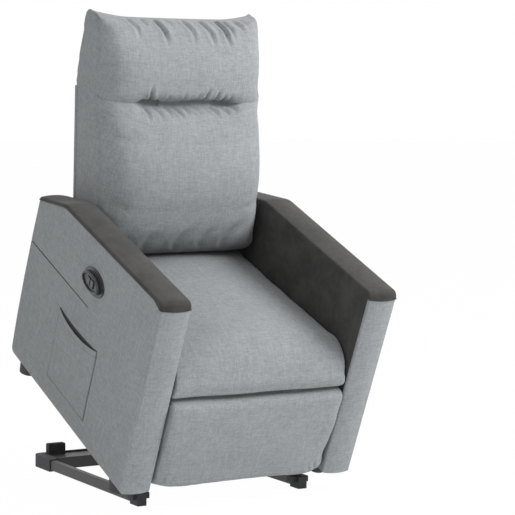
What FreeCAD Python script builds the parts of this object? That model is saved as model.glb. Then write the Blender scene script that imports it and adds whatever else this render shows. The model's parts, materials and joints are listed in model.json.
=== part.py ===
import FreeCAD, Part
import math
import os

# Lift recliner chair, in millimetres, shown in its lifted pose.
# X runs across the chair, -Y is the front, Z is up. "right" is the sitter's right, at -X.
# Chair pieces are drawn in the seat frame, where the chair stands on its feet and y = 0 is
# the rear edge of the arms. They are then tilted onto the raised base.

# Body of the chair
SEAT_HALF = 266.5          # middle of the chair to the inner face of an arm
ARM_WIDTH = 87.0
ARM_LENGTH = 740.0
ARM_BOTTOM = 47.0          # the feet lift the arms this far off the floor
ARM_TOP_FRONT = 603.5
ARM_TOP_MID = 588.0
ARM_TOP_REAR = 534.0
ARM_MID_Y = -158.0
ARM_CORNER = 24.0          # rounding of the front top corner
ARM_HEEL = 20.0            # rounding of the two rear corners
ARM_BEND = 90.0            # rounding where the top turns down to the rear
ARM_TOE = 4.0
ARM_EDGE = 8.0             # rounding along the long edges
COVER = 3.0                # thickness of an upholstered cover
PAD_DROP = 14.0            # how far the dark arm cover folds over the sides
ARM_BOARD = 12.0
FOOT_RADIUS = 27.5
FOOT_FRONT_Y = -ARM_LENGTH + 89.0
FOOT_REAR_Y = -45.0

# Seat
SEAT_BOTTOM = 318.4
SEAT_FRONT_Y = -ARM_LENGTH - 5.0
SEAT_REAR_Y = -104.0
SEAT_SIDE_GAP = 4.5        # seat and footrest to each arm
SEAT_SIDE_TOP = 405.0      # height of the cushion's side edge at the back
SEAT_NOSE_TOP = 434.0
SEAT_CROWN = 25.0
DRAW_IN = 9.0              # how far the seat cushion's side edges are pulled in
RAIL_WIDTH = 22.0
RAIL_TOP = 312.0
RAIL_DEPTH = 60.0
RAIL_FRONT_Y = SEAT_FRONT_Y + 61.0
RAIL_REAR_Y = -24.0
PLATE_FRONT_Y = RAIL_FRONT_Y + 84.0
REAR_PANEL = 20.0          # thickness of the panel below the back
REAR_PANEL_LOW = 63.0
REAR_PANEL_TOP = 385.0
STRAP_REAR_Y = -110.0
STRAP_WIDTH = 50.0
STRAP_COUNT = 5
STRAP_PITCH = (STRAP_REAR_Y - RAIL_FRONT_Y - 134.0) / (STRAP_COUNT - 1)
SHEET = 4.0                # steel flange of the side plates
STRAP_THICK = 2.0

# Back
BACK_SIDE_GAP = 10.5       # back cushion to each arm
BACK_HALF = SEAT_HALF - BACK_SIDE_GAP
BACK_PIVOT = (-75.0, 380.0)
BACK_LEAN = 21.5
BACK_FOOT = (-60.0, 400.0)  # lower rear edge of the back
BACK_BOARD = 18.0
BACK_BOARD_LENGTH = 455.0
BACK_COVER = 9.0
BACK_TOP = 1044.0          # in the middle; the two corners stand a little higher
SEAM_Z = 847.0             # sewn channel under the headrest roll
BACK_RANGE = 37.0
CRANK = 84.0
HINGE_TUBE = 10.0

# Footrest
PAD_BOTTOM = 43.0
PAD_TOP = 313.0
PAD_REAR_Y = SEAT_FRONT_Y + 55.0
PAD_FRONT_Y = SEAT_FRONT_Y - 10.0
PAD_BOARD = 16.0
PAD_DROP_PIVOT = (PAD_REAR_Y + 14.0, 200.0)
PAD_SWING = 80.0
PAD_OPEN_PIVOT = (PAD_REAR_Y - 201.5, 382.9)
DRIVE_PIVOT = (RAIL_FRONT_Y + 144.0, 285.0)
DRIVE_LINK = 150.0
DRIVE_ANGLE = -15.0
DRIVE_TUBE = 9.0

# Lift: the chassis rides on two crossed pairs of links
LIFT_TILT = 23.17
LIFT_REF_Y = -365.0
LIFT_SHIFT_Y = 0.9
LIFT_RISE = 159.9
SEATED_SHIFT = 8.0
ARM_PIN = (-320.0, 110.0)
GUIDE_PIN = (-380.0, 195.0)
ARM_REACH = 135.0
GUIDE_REACH = 140.0
LEVER = 85.0
TORQUE_TUBE = 14.0
LIFT_FOOT = (-66.0, 78.0)   # rear hinge of the lift actuator

# Base
RAIL_OUT = 6.5              # base rails sit this far inside the arm faces
BASE_TUBE = 20.0
BASE_TUBE_HIGH = 28.0
BASE_LIFT = 4.0
BASE_FRONT_Y = -655.0
TRAY_DEPTH = 100.0
TRAY_HIGH = 35.0
ELBOW_LENGTH = 115.0
WALL = 2.0
STOP_GAP = 1.0
STOP_IN = 99.5              # rubber stops, measured in from the arm faces
STOP_OUT = 46.5
STOP_DEPTH = 20.0
LUG_BOTTOM = 17.0

# Fits
PIN = 6.0
SMALL_PIN = 4.0
PLATE = 8.0
THIN_PLATE = 6.0
STEP = 5.0
RUN_FIT = 0.06
GAP = 0.4

# Electrics under the seat
CASE_X = (-150.0, -62.0)
CASE_Y = (-240.0, -110.0)
CASE_HIGH = 44.0
INLET_X = -106.0
INLET_DROP = 20.0
INLET_RADIUS = 7.0
INLET_FLANGE = 10.0
INLET_BORE = 3.4
INLET_DEPTH = 9.0

# Control and pocket on the right arm
CONTROL = (-391.0, 478.0)
CONTROL_LONG = 60.0
CONTROL_SHORT = 35.0
BOSS_LONG = 50.0
BOSS_SHORT = 25.0
FLANGE = 4.0
BOSS_DEPTH = 11.0
RECESS = 3.0
BUTTON_LONG = 17.0
BUTTON_HIGH = 22.0
BUTTON_TRAVEL = 1.5
POCKET_REAR_Y = -237.0
POCKET_FRONT_Y = -480.0
POCKET_BOTTOM = 106.0
POCKET_TOP = 320.0
POCKET_SAG = 15.0
POCKET_GAP = 7.0
POCKET_CLOTH = 1.6

OUTER = SEAT_HALF + ARM_WIDTH
CUSHION_HALF = SEAT_HALF - SEAT_SIDE_GAP
STRAP_Z = RAIL_TOP + SHEET
INLET_Z = RAIL_TOP - INLET_DROP
ACROSS = (-1.0, -0.97, -0.9, -0.7, -0.35, 0.0, 0.35, 0.7, 0.9, 0.97, 1.0)


def polar(radius, degrees):
    return (radius * math.cos(math.radians(degrees)), radius * math.sin(math.radians(degrees)))


def add(a, b):
    return (a[0] + b[0], a[1] + b[1])


def sub(a, b):
    return (a[0] - b[0], a[1] - b[1])


def dist(a, b):
    return math.hypot(a[0] - b[0], a[1] - b[1])


def heading(a, b):
    return math.degrees(math.atan2(b[1] - a[1], b[0] - a[0]))


def turned(p, degrees, centre=(0.0, 0.0)):
    """A (y, z) point turned about the X axis."""
    c = math.cos(math.radians(degrees))
    s = math.sin(math.radians(degrees))
    y, z = sub(p, centre)
    return (centre[0] + c * y - s * z, centre[1] + s * y + c * z)


def raised(p):
    """Where a seat-frame point stands when the chair is lifted."""
    return add(turned(sub(p, (LIFT_REF_Y, 0.0)), LIFT_TILT), (LIFT_REF_Y + LIFT_SHIFT_Y, LIFT_RISE))


def seated(p):
    """Where a seat-frame point stands when the chair is down."""
    return (p[0] + SEATED_SHIFT, p[1])


def pole_of_lift():
    """The point about which one turn carries the seated chair to the raised one."""
    start = seated((0.0, 0.0))
    end = raised((0.0, 0.0))
    c = math.cos(math.radians(LIFT_TILT)) - 1.0
    s = math.sin(math.radians(LIFT_TILT))
    free = sub(end, turned(start, LIFT_TILT))
    det = c * c + s * s
    return (-(c * free[0] + s * free[1]) / det, (s * free[0] - c * free[1]) / det)


def base_pivot(pin, reach):
    """Base end of a lift link: on the bisector of the pin's two places, seen from the pole."""
    pole = pole_of_lift()
    low = seated(pin)
    high = raised(pin)
    mid = ((low[0] + high[0]) / 2.0, (low[1] + high[1]) / 2.0)
    span = dist(pole, mid)
    return add(pole, ((mid[0] - pole[0]) * reach / span, (mid[1] - pole[1]) * reach / span))


ARM_BASE = base_pivot(ARM_PIN, ARM_REACH)
GUIDE_BASE = base_pivot(GUIDE_PIN, GUIDE_REACH)
ARM_HIGH = raised(ARM_PIN)
GUIDE_HIGH = raised(GUIDE_PIN)
ARM_SWING = heading(ARM_BASE, ARM_HIGH) - heading(ARM_BASE, seated(ARM_PIN))
GUIDE_SWING = heading(GUIDE_BASE, GUIDE_HIGH) - heading(GUIDE_BASE, seated(GUIDE_PIN))


def lever_angles():
    """Lever directions, raised and seated, even about the square to the actuator's line."""
    square = heading(ARM_BASE, LIFT_FOOT) + 90.0
    return (square + ARM_SWING / 2.0, square - ARM_SWING / 2.0)


LEVER_UP, LEVER_DOWN = lever_angles()
LEVER_HIGH = add(ARM_BASE, polar(LEVER, LEVER_UP))
LEVER_LOW = add(ARM_BASE, polar(LEVER, LEVER_DOWN))
LIFT_STROKE = dist(LIFT_FOOT, LEVER_HIGH) - dist(LIFT_FOOT, LEVER_LOW)
LIFT_NOD = heading(LIFT_FOOT, LEVER_HIGH) - heading(LIFT_FOOT, LEVER_LOW)


def open_error(count=24):
    """Largest distance that the opened guide pivot drifts over the lift."""
    worst = 0.0
    for step in range(count + 1):
        part = step / count
        centre = add(ARM_BASE, turned(sub(ARM_HIGH, ARM_BASE), -ARM_SWING * part))
        wanted = add(centre, turned(sub(GUIDE_HIGH, ARM_HIGH), -LIFT_TILT * part))
        held = add(GUIDE_BASE, turned(sub(GUIDE_HIGH, GUIDE_BASE), -GUIDE_SWING * part))
        worst = max(worst, dist(wanted, held))
    return worst


GUIDE_DRIFT = open_error()


def actuator_drift(foot, crank_centre, tip, swing, stroke, nod, count=24):
    """Largest drift between a crank pin and its rod eye while both follow one joint."""
    worst = 0.0
    for step in range(count + 1):
        part = step / count
        held = turned(tip, swing * part, crank_centre)
        length = dist(foot, tip) + stroke * part
        eye = add(foot, polar(length, heading(foot, tip) + nod * part))
        worst = max(worst, dist(held, eye))
    return worst


LEVER_DRIFT = actuator_drift(LIFT_FOOT, ARM_BASE, LEVER_HIGH, -ARM_SWING, -LIFT_STROKE, -LIFT_NOD)

# Recline crank, even about the square to its actuator
RECLINE_X = 92.0
BAR_Y = DRIVE_PIVOT[0] + 80.0
BAR = 20.0
RECLINE_FOOT = (BAR_Y, 268.0)
CRANK_SQUARE = math.degrees(math.acos(CRANK / dist(BACK_PIVOT, RECLINE_FOOT)))
CRANK_AIM = heading(BACK_PIVOT, RECLINE_FOOT) + CRANK_SQUARE
CRANK_REST = add(BACK_PIVOT, polar(CRANK, CRANK_AIM + BACK_RANGE / 2.0))
CRANK_BACK = turned(CRANK_REST, -BACK_RANGE, BACK_PIVOT)
RECLINE_STROKE = dist(RECLINE_FOOT, CRANK_BACK) - dist(RECLINE_FOOT, CRANK_REST)
RECLINE_NOD = heading(RECLINE_FOOT, CRANK_BACK) - heading(RECLINE_FOOT, CRANK_REST)
CRANK_DRIFT = actuator_drift(RECLINE_FOOT, BACK_PIVOT, CRANK_REST, -BACK_RANGE,
                             RECLINE_STROKE, RECLINE_NOD)


def footrest_chain():
    """Knee places, closed and open, and the turn of each footrest link."""
    knee = add(DRIVE_PIVOT, polar(DRIVE_LINK, DRIVE_ANGLE))
    long_link = dist(knee, PAD_DROP_PIVOT)
    reach = dist(DRIVE_PIVOT, PAD_OPEN_PIVOT)
    cosine = (DRIVE_LINK ** 2 + reach ** 2 - long_link ** 2) / (2.0 * DRIVE_LINK * reach)
    aim = heading(DRIVE_PIVOT, PAD_OPEN_PIVOT)
    bend = math.degrees(math.acos(cosine))
    open_knee = add(DRIVE_PIVOT, polar(DRIVE_LINK, aim + bend))
    drive_turn = (aim + bend - DRIVE_ANGLE + 180.0) % 360.0 - 180.0
    link_turn = heading(open_knee, PAD_OPEN_PIVOT) - heading(knee, PAD_DROP_PIVOT)
    link_turn = (link_turn + 180.0) % 360.0 - 180.0
    return knee, open_knee, drive_turn, link_turn


KNEE, KNEE_OPEN, DRIVE_TURN, LINK_TURN = footrest_chain()

# Places across the chair, from the arm inwards
PLATE_X = SEAT_HALF - 62.5
BRACKET_X = SEAT_HALF - 20.5
LIFT_ARM_X = BRACKET_X - 10.0 - PLATE
GUIDE_X = LIFT_ARM_X - 6.0 - THIN_PLATE
DRIVE_X = PLATE_X - 13.0 - STEP
FOLLOW_X = DRIVE_X - 3.0 - STEP
BRACKET_IN_X = FOLLOW_X - 3.0 - STEP
BASE_OUT = SEAT_HALF - RAIL_OUT


def vec(x, y, z):
    return FreeCAD.Vector(x, y, z)


def box(x0, x1, y0, y1, z0, z1):
    return Part.makeBox(x1 - x0, y1 - y0, z1 - z0, vec(x0, y0, z0))


def rod(x0, x1, centre, radius):
    return Part.makeCylinder(radius, x1 - x0, vec(x0, centre[0], centre[1]), vec(1, 0, 0))


def outline(x, start, steps):
    """Closed outline in the plane at x. A step of two numbers is a line to (y, z),
    a step of four is an arc through (y, z) to (y, z)."""
    edges = []
    here = start
    for step in steps:
        end = (step[-2], step[-1])
        if len(step) == 4:
            edges.append(Part.Arc(vec(x, *here), vec(x, step[0], step[1]), vec(x, *end)).toShape())
        else:
            edges.append(Part.LineSegment(vec(x, *here), vec(x, *end)).toShape())
        here = end
    if dist(here, start) > 1e-6:
        edges.append(Part.LineSegment(vec(x, *here), vec(x, *start)).toShape())
    return Part.Wire(edges)


def prism(x0, x1, start, steps):
    return Part.Face(outline(x0, start, steps)).extrude(vec(x1 - x0, 0, 0))


def polygon(x0, x1, points):
    return prism(x0, x1, points[0], points[1:])


def loft(wires):
    return Part.makeLoft(wires, True, False)


def link(x0, x1, a, b, half):
    """Flat bar with round ends, from a to b."""
    side = polar(half, heading(a, b) + 90.0)
    body = polygon(x0, x1, [add(a, side), sub(a, side), sub(b, side), add(b, side)])
    return body.fuse([rod(x0, x1, a, half), rod(x0, x1, b, half)]).removeSplitter()


def slab(x0, x1, a, b, low, high):
    """Bar along the line from a to b, between two distances to its left side."""
    side = polar(1.0, heading(a, b) + 90.0)
    lo = (side[0] * low, side[1] * low)
    hi = (side[0] * high, side[1] * high)
    return polygon(x0, x1, [add(a, lo), add(b, lo), add(b, hi), add(a, hi)])


def along(a, b, radius, start, end):
    """Round rod in the middle plane, along the line from a to b, from start to end."""
    way = polar(1.0, heading(a, b))
    foot = add(a, (way[0] * start, way[1] * start))
    return Part.makeCylinder(radius, end - start, vec(0, *foot), vec(0, *way))


def mirrored(shape):
    return shape.mirror(vec(0, 0, 0), vec(1, 0, 0))


def rounded(shape, radius, chosen):
    edges = [edge for edge in shape.Edges if chosen(edge)]
    return shape.makeFillet(radius, edges) if edges else shape


def group(shapes):
    return Part.makeCompound(shapes)


def both(shape):
    return group([shape, mirrored(shape)])


# Arms

def arm_corners(inset, drop):
    """Side corners of an arm with their rounding, drawn in by inset and lowered by drop."""
    corners = [(0.0, ARM_BOTTOM, ARM_HEEL), (0.0, ARM_TOP_REAR, ARM_HEEL),
               (ARM_MID_Y, ARM_TOP_MID, ARM_BEND), (-ARM_LENGTH, ARM_TOP_FRONT, ARM_CORNER),
               (-ARM_LENGTH, ARM_BOTTOM, ARM_TOE)]
    count = len(corners)
    result = []
    for index, (y, z, radius) in enumerate(corners):
        before = corners[index - 1][:2]
        after = corners[(index + 1) % count][:2]
        course = heading(before, (y, z))
        turn = (heading((y, z), after) - course + 180.0) % 360.0 - 180.0
        reach = inset / math.cos(math.radians(turn / 2.0))
        step = polar(reach, course + turn / 2.0 + 90.0)
        fall = drop if z > SEAT_BOTTOM else 0.0
        result.append((y + step[0], z + step[1] - fall, max(radius - inset, 1.0)))
    return result


def rounded_outline(x, corners):
    """Closed outline in the plane at x through (y, z, radius) corners, with tangent arcs."""
    count = len(corners)
    points = []
    for index, (y, z, radius) in enumerate(corners):
        here = (y, z)
        one = polar(1.0, heading(here, corners[index - 1][:2]))
        two = polar(1.0, heading(here, corners[(index + 1) % count][:2]))
        half = math.acos(one[0] * two[0] + one[1] * two[1]) / 2.0
        run = radius / math.tan(half)
        middle = add(one, two)
        span = math.hypot(*middle)
        rise = radius / math.sin(half) - radius
        points.append((add(here, (one[0] * run, one[1] * run)),
                       add(here, (middle[0] / span * rise, middle[1] / span * rise)),
                       add(here, (two[0] * run, two[1] * run))))
    start = points[0][0]
    steps = []
    for index, (enter, mid, leave) in enumerate(points):
        if index:
            steps.append(enter)
        steps.append(mid + leave)
    return outline(x, start, steps)


def arm_body(x0, x1, inset=0.0, drop=0.0):
    return Part.Face(rounded_outline(x0, arm_corners(inset, drop))).extrude(vec(x1 - x0, 0, 0))


def control_box(clearance):
    """The pocket in the right arm that the switches sit in."""
    return box(-OUTER - 1.0, -OUTER + 26.0 + clearance,
               CONTROL[0] - 40.0 - clearance, CONTROL[0] + 40.0 + clearance,
               CONTROL[1] - 16.0 - clearance, CONTROL[1] + 16.0 + clearance)


def make_arms(nodes):
    inner = SEAT_HALF + COVER
    outer = OUTER - COVER
    whole = arm_body(SEAT_HALF, OUTER)
    whole = rounded(whole, ARM_EDGE, lambda edge: edge.CenterOfMass.z > ARM_TOP_REAR - ARM_HEEL
                    and abs(edge.tangentAt(edge.FirstParameter).x) < 0.1)
    board = arm_body(inner, inner + ARM_BOARD, COVER)
    foam = arm_body(inner + ARM_BOARD, outer, COVER)
    opening = box(inner, outer, -ARM_LENGTH + COVER, -20.0 - COVER, 0, ARM_BOTTOM + COVER + 1.0)
    shell = whole.cut(arm_body(inner, outer, COVER)).cut(opening)
    lower = arm_body(SEAT_HALF + COVER, OUTER + 1.0, 0.0, PAD_DROP)
    rear_strip = box(SEAT_HALF - 1, OUTER + 1, -COVER, 1, 0, ARM_TOP_REAR - 18.0)
    side = shell.common(lower.fuse(rear_strip))
    top = shell.cut(lower.fuse(rear_strip))
    dust = box(inner + GAP, outer - GAP, -ARM_LENGTH + COVER + GAP, -20.0 - COVER - GAP,
               ARM_BOTTOM, ARM_BOTTOM + COVER)
    for name, turn in (("left", lambda s: s), ("right", mirrored)):
        cut = control_box(GAP) if name == "right" else None
        for label, shape in (("arm_board", board), ("arm_padding", foam),
                             ("arm_side_cover", side), ("arm_top_cover", top)):
            piece = turn(shape)
            if cut is not None and label in ("arm_padding", "arm_side_cover"):
                piece = piece.cut(cut)
            nodes[label + "_" + name] = piece
    nodes["arm_dust_covers"] = both(dust)


def make_feet(nodes):
    middle = SEAT_HALF + ARM_WIDTH / 2.0
    feet = []
    for side in (-1, 1):
        for y in (FOOT_FRONT_Y, FOOT_REAR_Y):
            foot = Part.makeCone(FOOT_RADIUS - 3.0, FOOT_RADIUS, ARM_BOTTOM - 4.0,
                                 vec(side * middle, y, 0))
            collar = Part.makeCylinder(FOOT_RADIUS, 4.0, vec(side * middle, y, ARM_BOTTOM - 4.0))
            feet.append(foot.fuse(collar))
    nodes["feet"] = group(feet)


# Seat

def seat_outline(x, crown, inset):
    """Side outline of the seat cushion. crown lifts the middle of its top."""
    low = SEAT_BOTTOM
    front = SEAT_FRONT_Y + inset
    rear = SEAT_REAR_Y - inset
    side = SEAT_SIDE_TOP - inset
    nose = SEAT_NOSE_TOP - inset
    return outline(x, (rear, low), [
        (rear, side - 16.0),
        (rear - 4.0, side - 4.0 + crown * 0.3, rear - 18.0, side + crown * 0.5),
        (SEAT_FRONT_Y + 355.0, (side + nose) / 2.0 + crown,
         SEAT_FRONT_Y + 105.0, nose + crown * 0.9),
        (SEAT_FRONT_Y + 39.0, nose - 20.0 + crown * 0.5, front + 4.0, nose - 66.0),
        (front - 1.0, nose - 92.0, front + 8.0, low + 9.0),
        (front + 14.0, low + 2.0, front + 22.0, low)])


def make_seat(nodes):
    half = CUSHION_HALF
    nodes["seat_cushion"] = loft([
        seat_outline(half * place, SEAT_CROWN * (1.0 - place * place), DRAW_IN * abs(place) ** 10)
        for place in ACROSS])
    rail = box(SEAT_HALF - RAIL_WIDTH, SEAT_HALF, RAIL_FRONT_Y, RAIL_REAR_Y,
               RAIL_TOP - RAIL_DEPTH, RAIL_TOP)
    nodes["seat_rail_left"] = rail
    nodes["seat_rail_right"] = mirrored(rail)
    nodes["seat_rail_front"] = box(-SEAT_HALF + RAIL_WIDTH, SEAT_HALF - RAIL_WIDTH,
                                   RAIL_FRONT_Y, RAIL_FRONT_Y + RAIL_WIDTH + 2.0,
                                   RAIL_TOP - RAIL_DEPTH, RAIL_TOP)
    panel = box(-SEAT_HALF + SEAT_SIDE_GAP, SEAT_HALF - SEAT_SIDE_GAP,
                RAIL_REAR_Y, RAIL_REAR_Y + REAR_PANEL, REAR_PANEL_LOW, REAR_PANEL_TOP)
    hole = Part.makeCylinder(INLET_RADIUS, REAR_PANEL, vec(INLET_X, RAIL_REAR_Y, INLET_Z), vec(0, 1, 0))
    nodes["seat_rail_rear"] = panel.cut(hole)
    straps = []
    for index in range(STRAP_COUNT):
        y = STRAP_REAR_Y - index * STRAP_PITCH
        straps.append(box(-SEAT_HALF + 4.0, SEAT_HALF - 4.0, y - STRAP_WIDTH, y,
                          STRAP_Z, STRAP_Z + STRAP_THICK))
    nodes["seat_webbing"] = group(straps)


# Steel chassis under the seat

def make_chassis(nodes):
    lower = RAIL_TOP - 50.0
    plate = polygon(PLATE_X, PLATE_X + THIN_PLATE, [
        (PLATE_FRONT_Y, STRAP_Z), (-60.0, STRAP_Z), (-60.0, lower), (ARM_PIN[0] + 90.0, lower - 20.0),
        (ARM_PIN[0] + 24.0, ARM_PIN[1] - 22.0), (ARM_PIN[0] - 24.0, ARM_PIN[1] - 22.0),
        (GUIDE_PIN[0] - 24.0, GUIDE_PIN[1] - 14.0), (DRIVE_PIVOT[0] + 60.0, lower - 12.0),
        (DRIVE_PIVOT[0] - 30.0, DRIVE_PIVOT[1] - 18.0)])
    flange = box(PLATE_X, SEAT_HALF - 1.0, PLATE_FRONT_Y, -60.0, RAIL_TOP, STRAP_Z)
    ear = polygon(SEAT_HALF - 30.0, SEAT_HALF - 24.0, [
        (BACK_PIVOT[0] - 22.0, RAIL_TOP), (BACK_PIVOT[0] + 22.0, RAIL_TOP),
        (BACK_PIVOT[0] + 14.0, BACK_PIVOT[1] + 14.0), (BACK_PIVOT[0] - 14.0, BACK_PIVOT[1] + 14.0)])
    plate = plate.fuse([flange, ear]).removeSplitter()
    plate = plate.cut(rod(0, SEAT_HALF, ARM_PIN, PIN))
    plate = plate.cut(rod(0, SEAT_HALF, GUIDE_PIN, PIN))
    plate = plate.cut(rod(0, SEAT_HALF, DRIVE_PIVOT, PIN))
    plate = plate.cut(rod(0, SEAT_HALF, BACK_PIVOT, PIN + RUN_FIT))
    nodes["chassis_plate_left"] = plate
    nodes["chassis_plate_right"] = mirrored(plate)
    bar = box(-PLATE_X, PLATE_X, BAR_Y, BAR_Y + BAR, RAIL_TOP - BAR - 2.0, RAIL_TOP - 2.0)
    tabs = []
    for x in (RECLINE_X - 18.0 - STEP, RECLINE_X + 18.0):
        tabs.append(polygon(x, x + STEP, [
            (BAR_Y - 12.0, RECLINE_FOOT[1] - 12.0), (BAR_Y + 12.0, RECLINE_FOOT[1] - 12.0),
            (BAR_Y + BAR, RAIL_TOP - BAR - 2.0), (BAR_Y - 12.0, RAIL_TOP - BAR - 2.0)])
            .cut(rod(x - 1, x + 9, RECLINE_FOOT, SMALL_PIN)))
    nodes["chassis_cross_bar"] = bar.fuse(tabs)
    pins = []
    for turn in (lambda s: s, mirrored):
        pins.append(turn(rod(PLATE_X, LIFT_ARM_X + PLATE + 4.0, ARM_PIN, PIN)))
        pins.append(turn(rod(PLATE_X, GUIDE_X + THIN_PLATE + 4.0, GUIDE_PIN, PIN)))
        pins.append(turn(rod(FOLLOW_X + STEP + 1.0, PLATE_X + THIN_PLATE, DRIVE_PIVOT, PIN)))
    pins.append(rod(RECLINE_X - 18.0 - STEP, RECLINE_X + 18.0 + STEP, RECLINE_FOOT, SMALL_PIN))
    nodes["chassis_pins"] = group(pins)


# Back

def back_point(s, depth):
    """Point s up the back's rear face and depth in front of it."""
    way = polar(1.0, 90.0 - BACK_LEAN)
    fore = polar(1.0, 180.0 - BACK_LEAN)
    return add(BACK_FOOT, (way[0] * s + fore[0] * depth, way[1] * s + fore[1] * depth))


def blended(start, steps, side_start, side_steps, share):
    """Start and steps of an outline between two others; share 0 is the first, 1 the second."""
    def mix(one, other):
        return tuple(u + (v - u) * share for u, v in zip(one, other))
    return mix(start, side_start), [mix(one, other) for one, other in zip(steps, side_steps)]


def back_outline(x, share):
    """Side outline of the back cushion. share is 0 in the middle and 1 at its side edge,
    where the front falls back and the top corners stand up."""
    low = back_point(16.0, BACK_COVER + 1.0)
    step = back_point(BACK_BOARD_LENGTH, 0.0)
    top = BACK_TOP
    seam = SEAM_Z
    middle = [
        step,
        (step[0] + 12.0, step[1] + 70.0, 106.0, top - 62.0),
        (98.0, top - 16.0, 64.0, top),
        (28.0, top - 10.0, 2.0, top - 30.0),
        (-58.0, top - 84.0, -86.0, seam + 45.0),
        (-84.0, seam + 18.0, -54.0, seam),
        (-118.0, seam - 34.0, -155.0, seam - 82.0),
        (-204.0, seam - 167.0, -219.0, seam - 257.0),
        (-218.0, 520.0, -200.0, 462.0),
        (-172.0, 438.0, -124.0, 430.0)]
    side = [
        step,
        (step[0] + 14.0, step[1] + 80.0, 127.0, top - 59.0),
        (133.0, top - 20.0, 110.0, top + 2.0),
        (90.0, top + 6.0, 68.0, top),
        (42.0, top - 60.0, 8.0, seam + 53.0),
        (-2.0, seam + 25.0, -15.0, seam),
        (-30.0, seam - 34.0, -51.0, seam - 82.0),
        (-84.0, seam - 167.0, -118.0, seam - 257.0),
        (-146.0, 520.0, -164.0, 462.0),
        (-150.0, 440.0, -120.0, 430.0)]
    return outline(x, *blended(low, middle, low, side, share))


def make_back(nodes):
    half = BACK_HALF
    cushion = loft([
        back_outline(half * place, 0.3 * abs(place) ** 2.5 + 0.7 * abs(place) ** 13)
        for place in ACROSS])
    foot = back_point(0.0, 0.0)
    head = back_point(BACK_BOARD_LENGTH, 0.0)
    board_half = half - 8.0
    board = slab(-board_half, board_half, foot, head, BACK_COVER, BACK_COVER + BACK_BOARD)
    skin = slab(-half + 1.0, half - 1.0, foot, head, -1.0, BACK_COVER)
    below = back_point(-60.0, 0.0)
    cushion = cushion.cut(slab(-half - 9.0, half + 9.0, below, head, -60.0, BACK_COVER))
    cushion = cushion.cut(slab(-board_half, board_half, below, head,
                               BACK_COVER - 1.0, BACK_COVER + BACK_BOARD))
    nodes["back_cushion"] = cushion
    nodes["back_board"] = board
    nodes["back_rear_cover"] = skin
    tube = rod(-SEAT_HALF + 36.0, SEAT_HALF - 36.0, BACK_PIVOT, HINGE_TUBE)
    stub = rod(SEAT_HALF - 40.0, SEAT_HALF - 22.0, BACK_PIVOT, PIN)
    front = BACK_COVER + BACK_BOARD
    ribs = []
    for x in (SEAT_HALF - 42.0, -SEAT_HALF + 36.0):
        ribs.append(polygon(x, x + 6.0, [
            back_point(90.0, front), back_point(90.0, front + 13.0), back_point(-12.0, front + 13.0),
            add(BACK_PIVOT, (-11.0, -8.0)), add(BACK_PIVOT, (11.0, -8.0)),
            back_point(-1.0, BACK_COVER), back_point(-1.0, front)]))
    crank = link(RECLINE_X - 4.0, RECLINE_X + 4.0, BACK_PIVOT, CRANK_REST, 12.0)
    crank_pin = rod(RECLINE_X - 12.0, RECLINE_X + 12.0, CRANK_REST, SMALL_PIN)
    hinge = tube.fuse([stub, mirrored(stub), crank, crank_pin] + ribs).removeSplitter()
    nodes["back_hinge"] = hinge
    nodes["back_cushion"] = cushion.cut(ribs)


# Footrest

def pad_outline(x, share):
    """Side outline of the footrest pad. share is 0 in the middle and 1 at its side edge."""
    rear = PAD_REAR_Y
    front = PAD_FRONT_Y
    low = PAD_BOTTOM
    top = PAD_TOP
    middle = [
        (rear, top - 14.0),
        (rear - 4.0, top - 4.0, rear - 14.0, top),
        (front + 16.0, top),
        (front + 6.0, top - 5.0, front + 1.0, top - 20.0),
        (front, 190.0, front + 5.0, low + 32.0),
        (front + 9.0, low + 8.0, front + 24.0, low),
        (rear - 16.0, low),
        (rear - 5.0, low + 5.0, rear, low + 16.0)]
    side = [
        (rear, top - 14.0),
        (rear - 4.0, top - 4.0, rear - 14.0, top),
        (front + 25.0, top),
        (front + 15.0, top - 5.0, front + 10.0, top - 20.0),
        (front + 12.0, 190.0, front + 22.0, low + 62.0),
        (front + 26.0, low + 24.0, front + 38.0, low + 12.0),
        (rear - 16.0, low + 12.0),
        (rear - 5.0, low + 17.0, rear, low + 28.0)]
    return outline(x, *blended(middle[-1][2:], middle, side[-1][2:], side, share))


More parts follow.
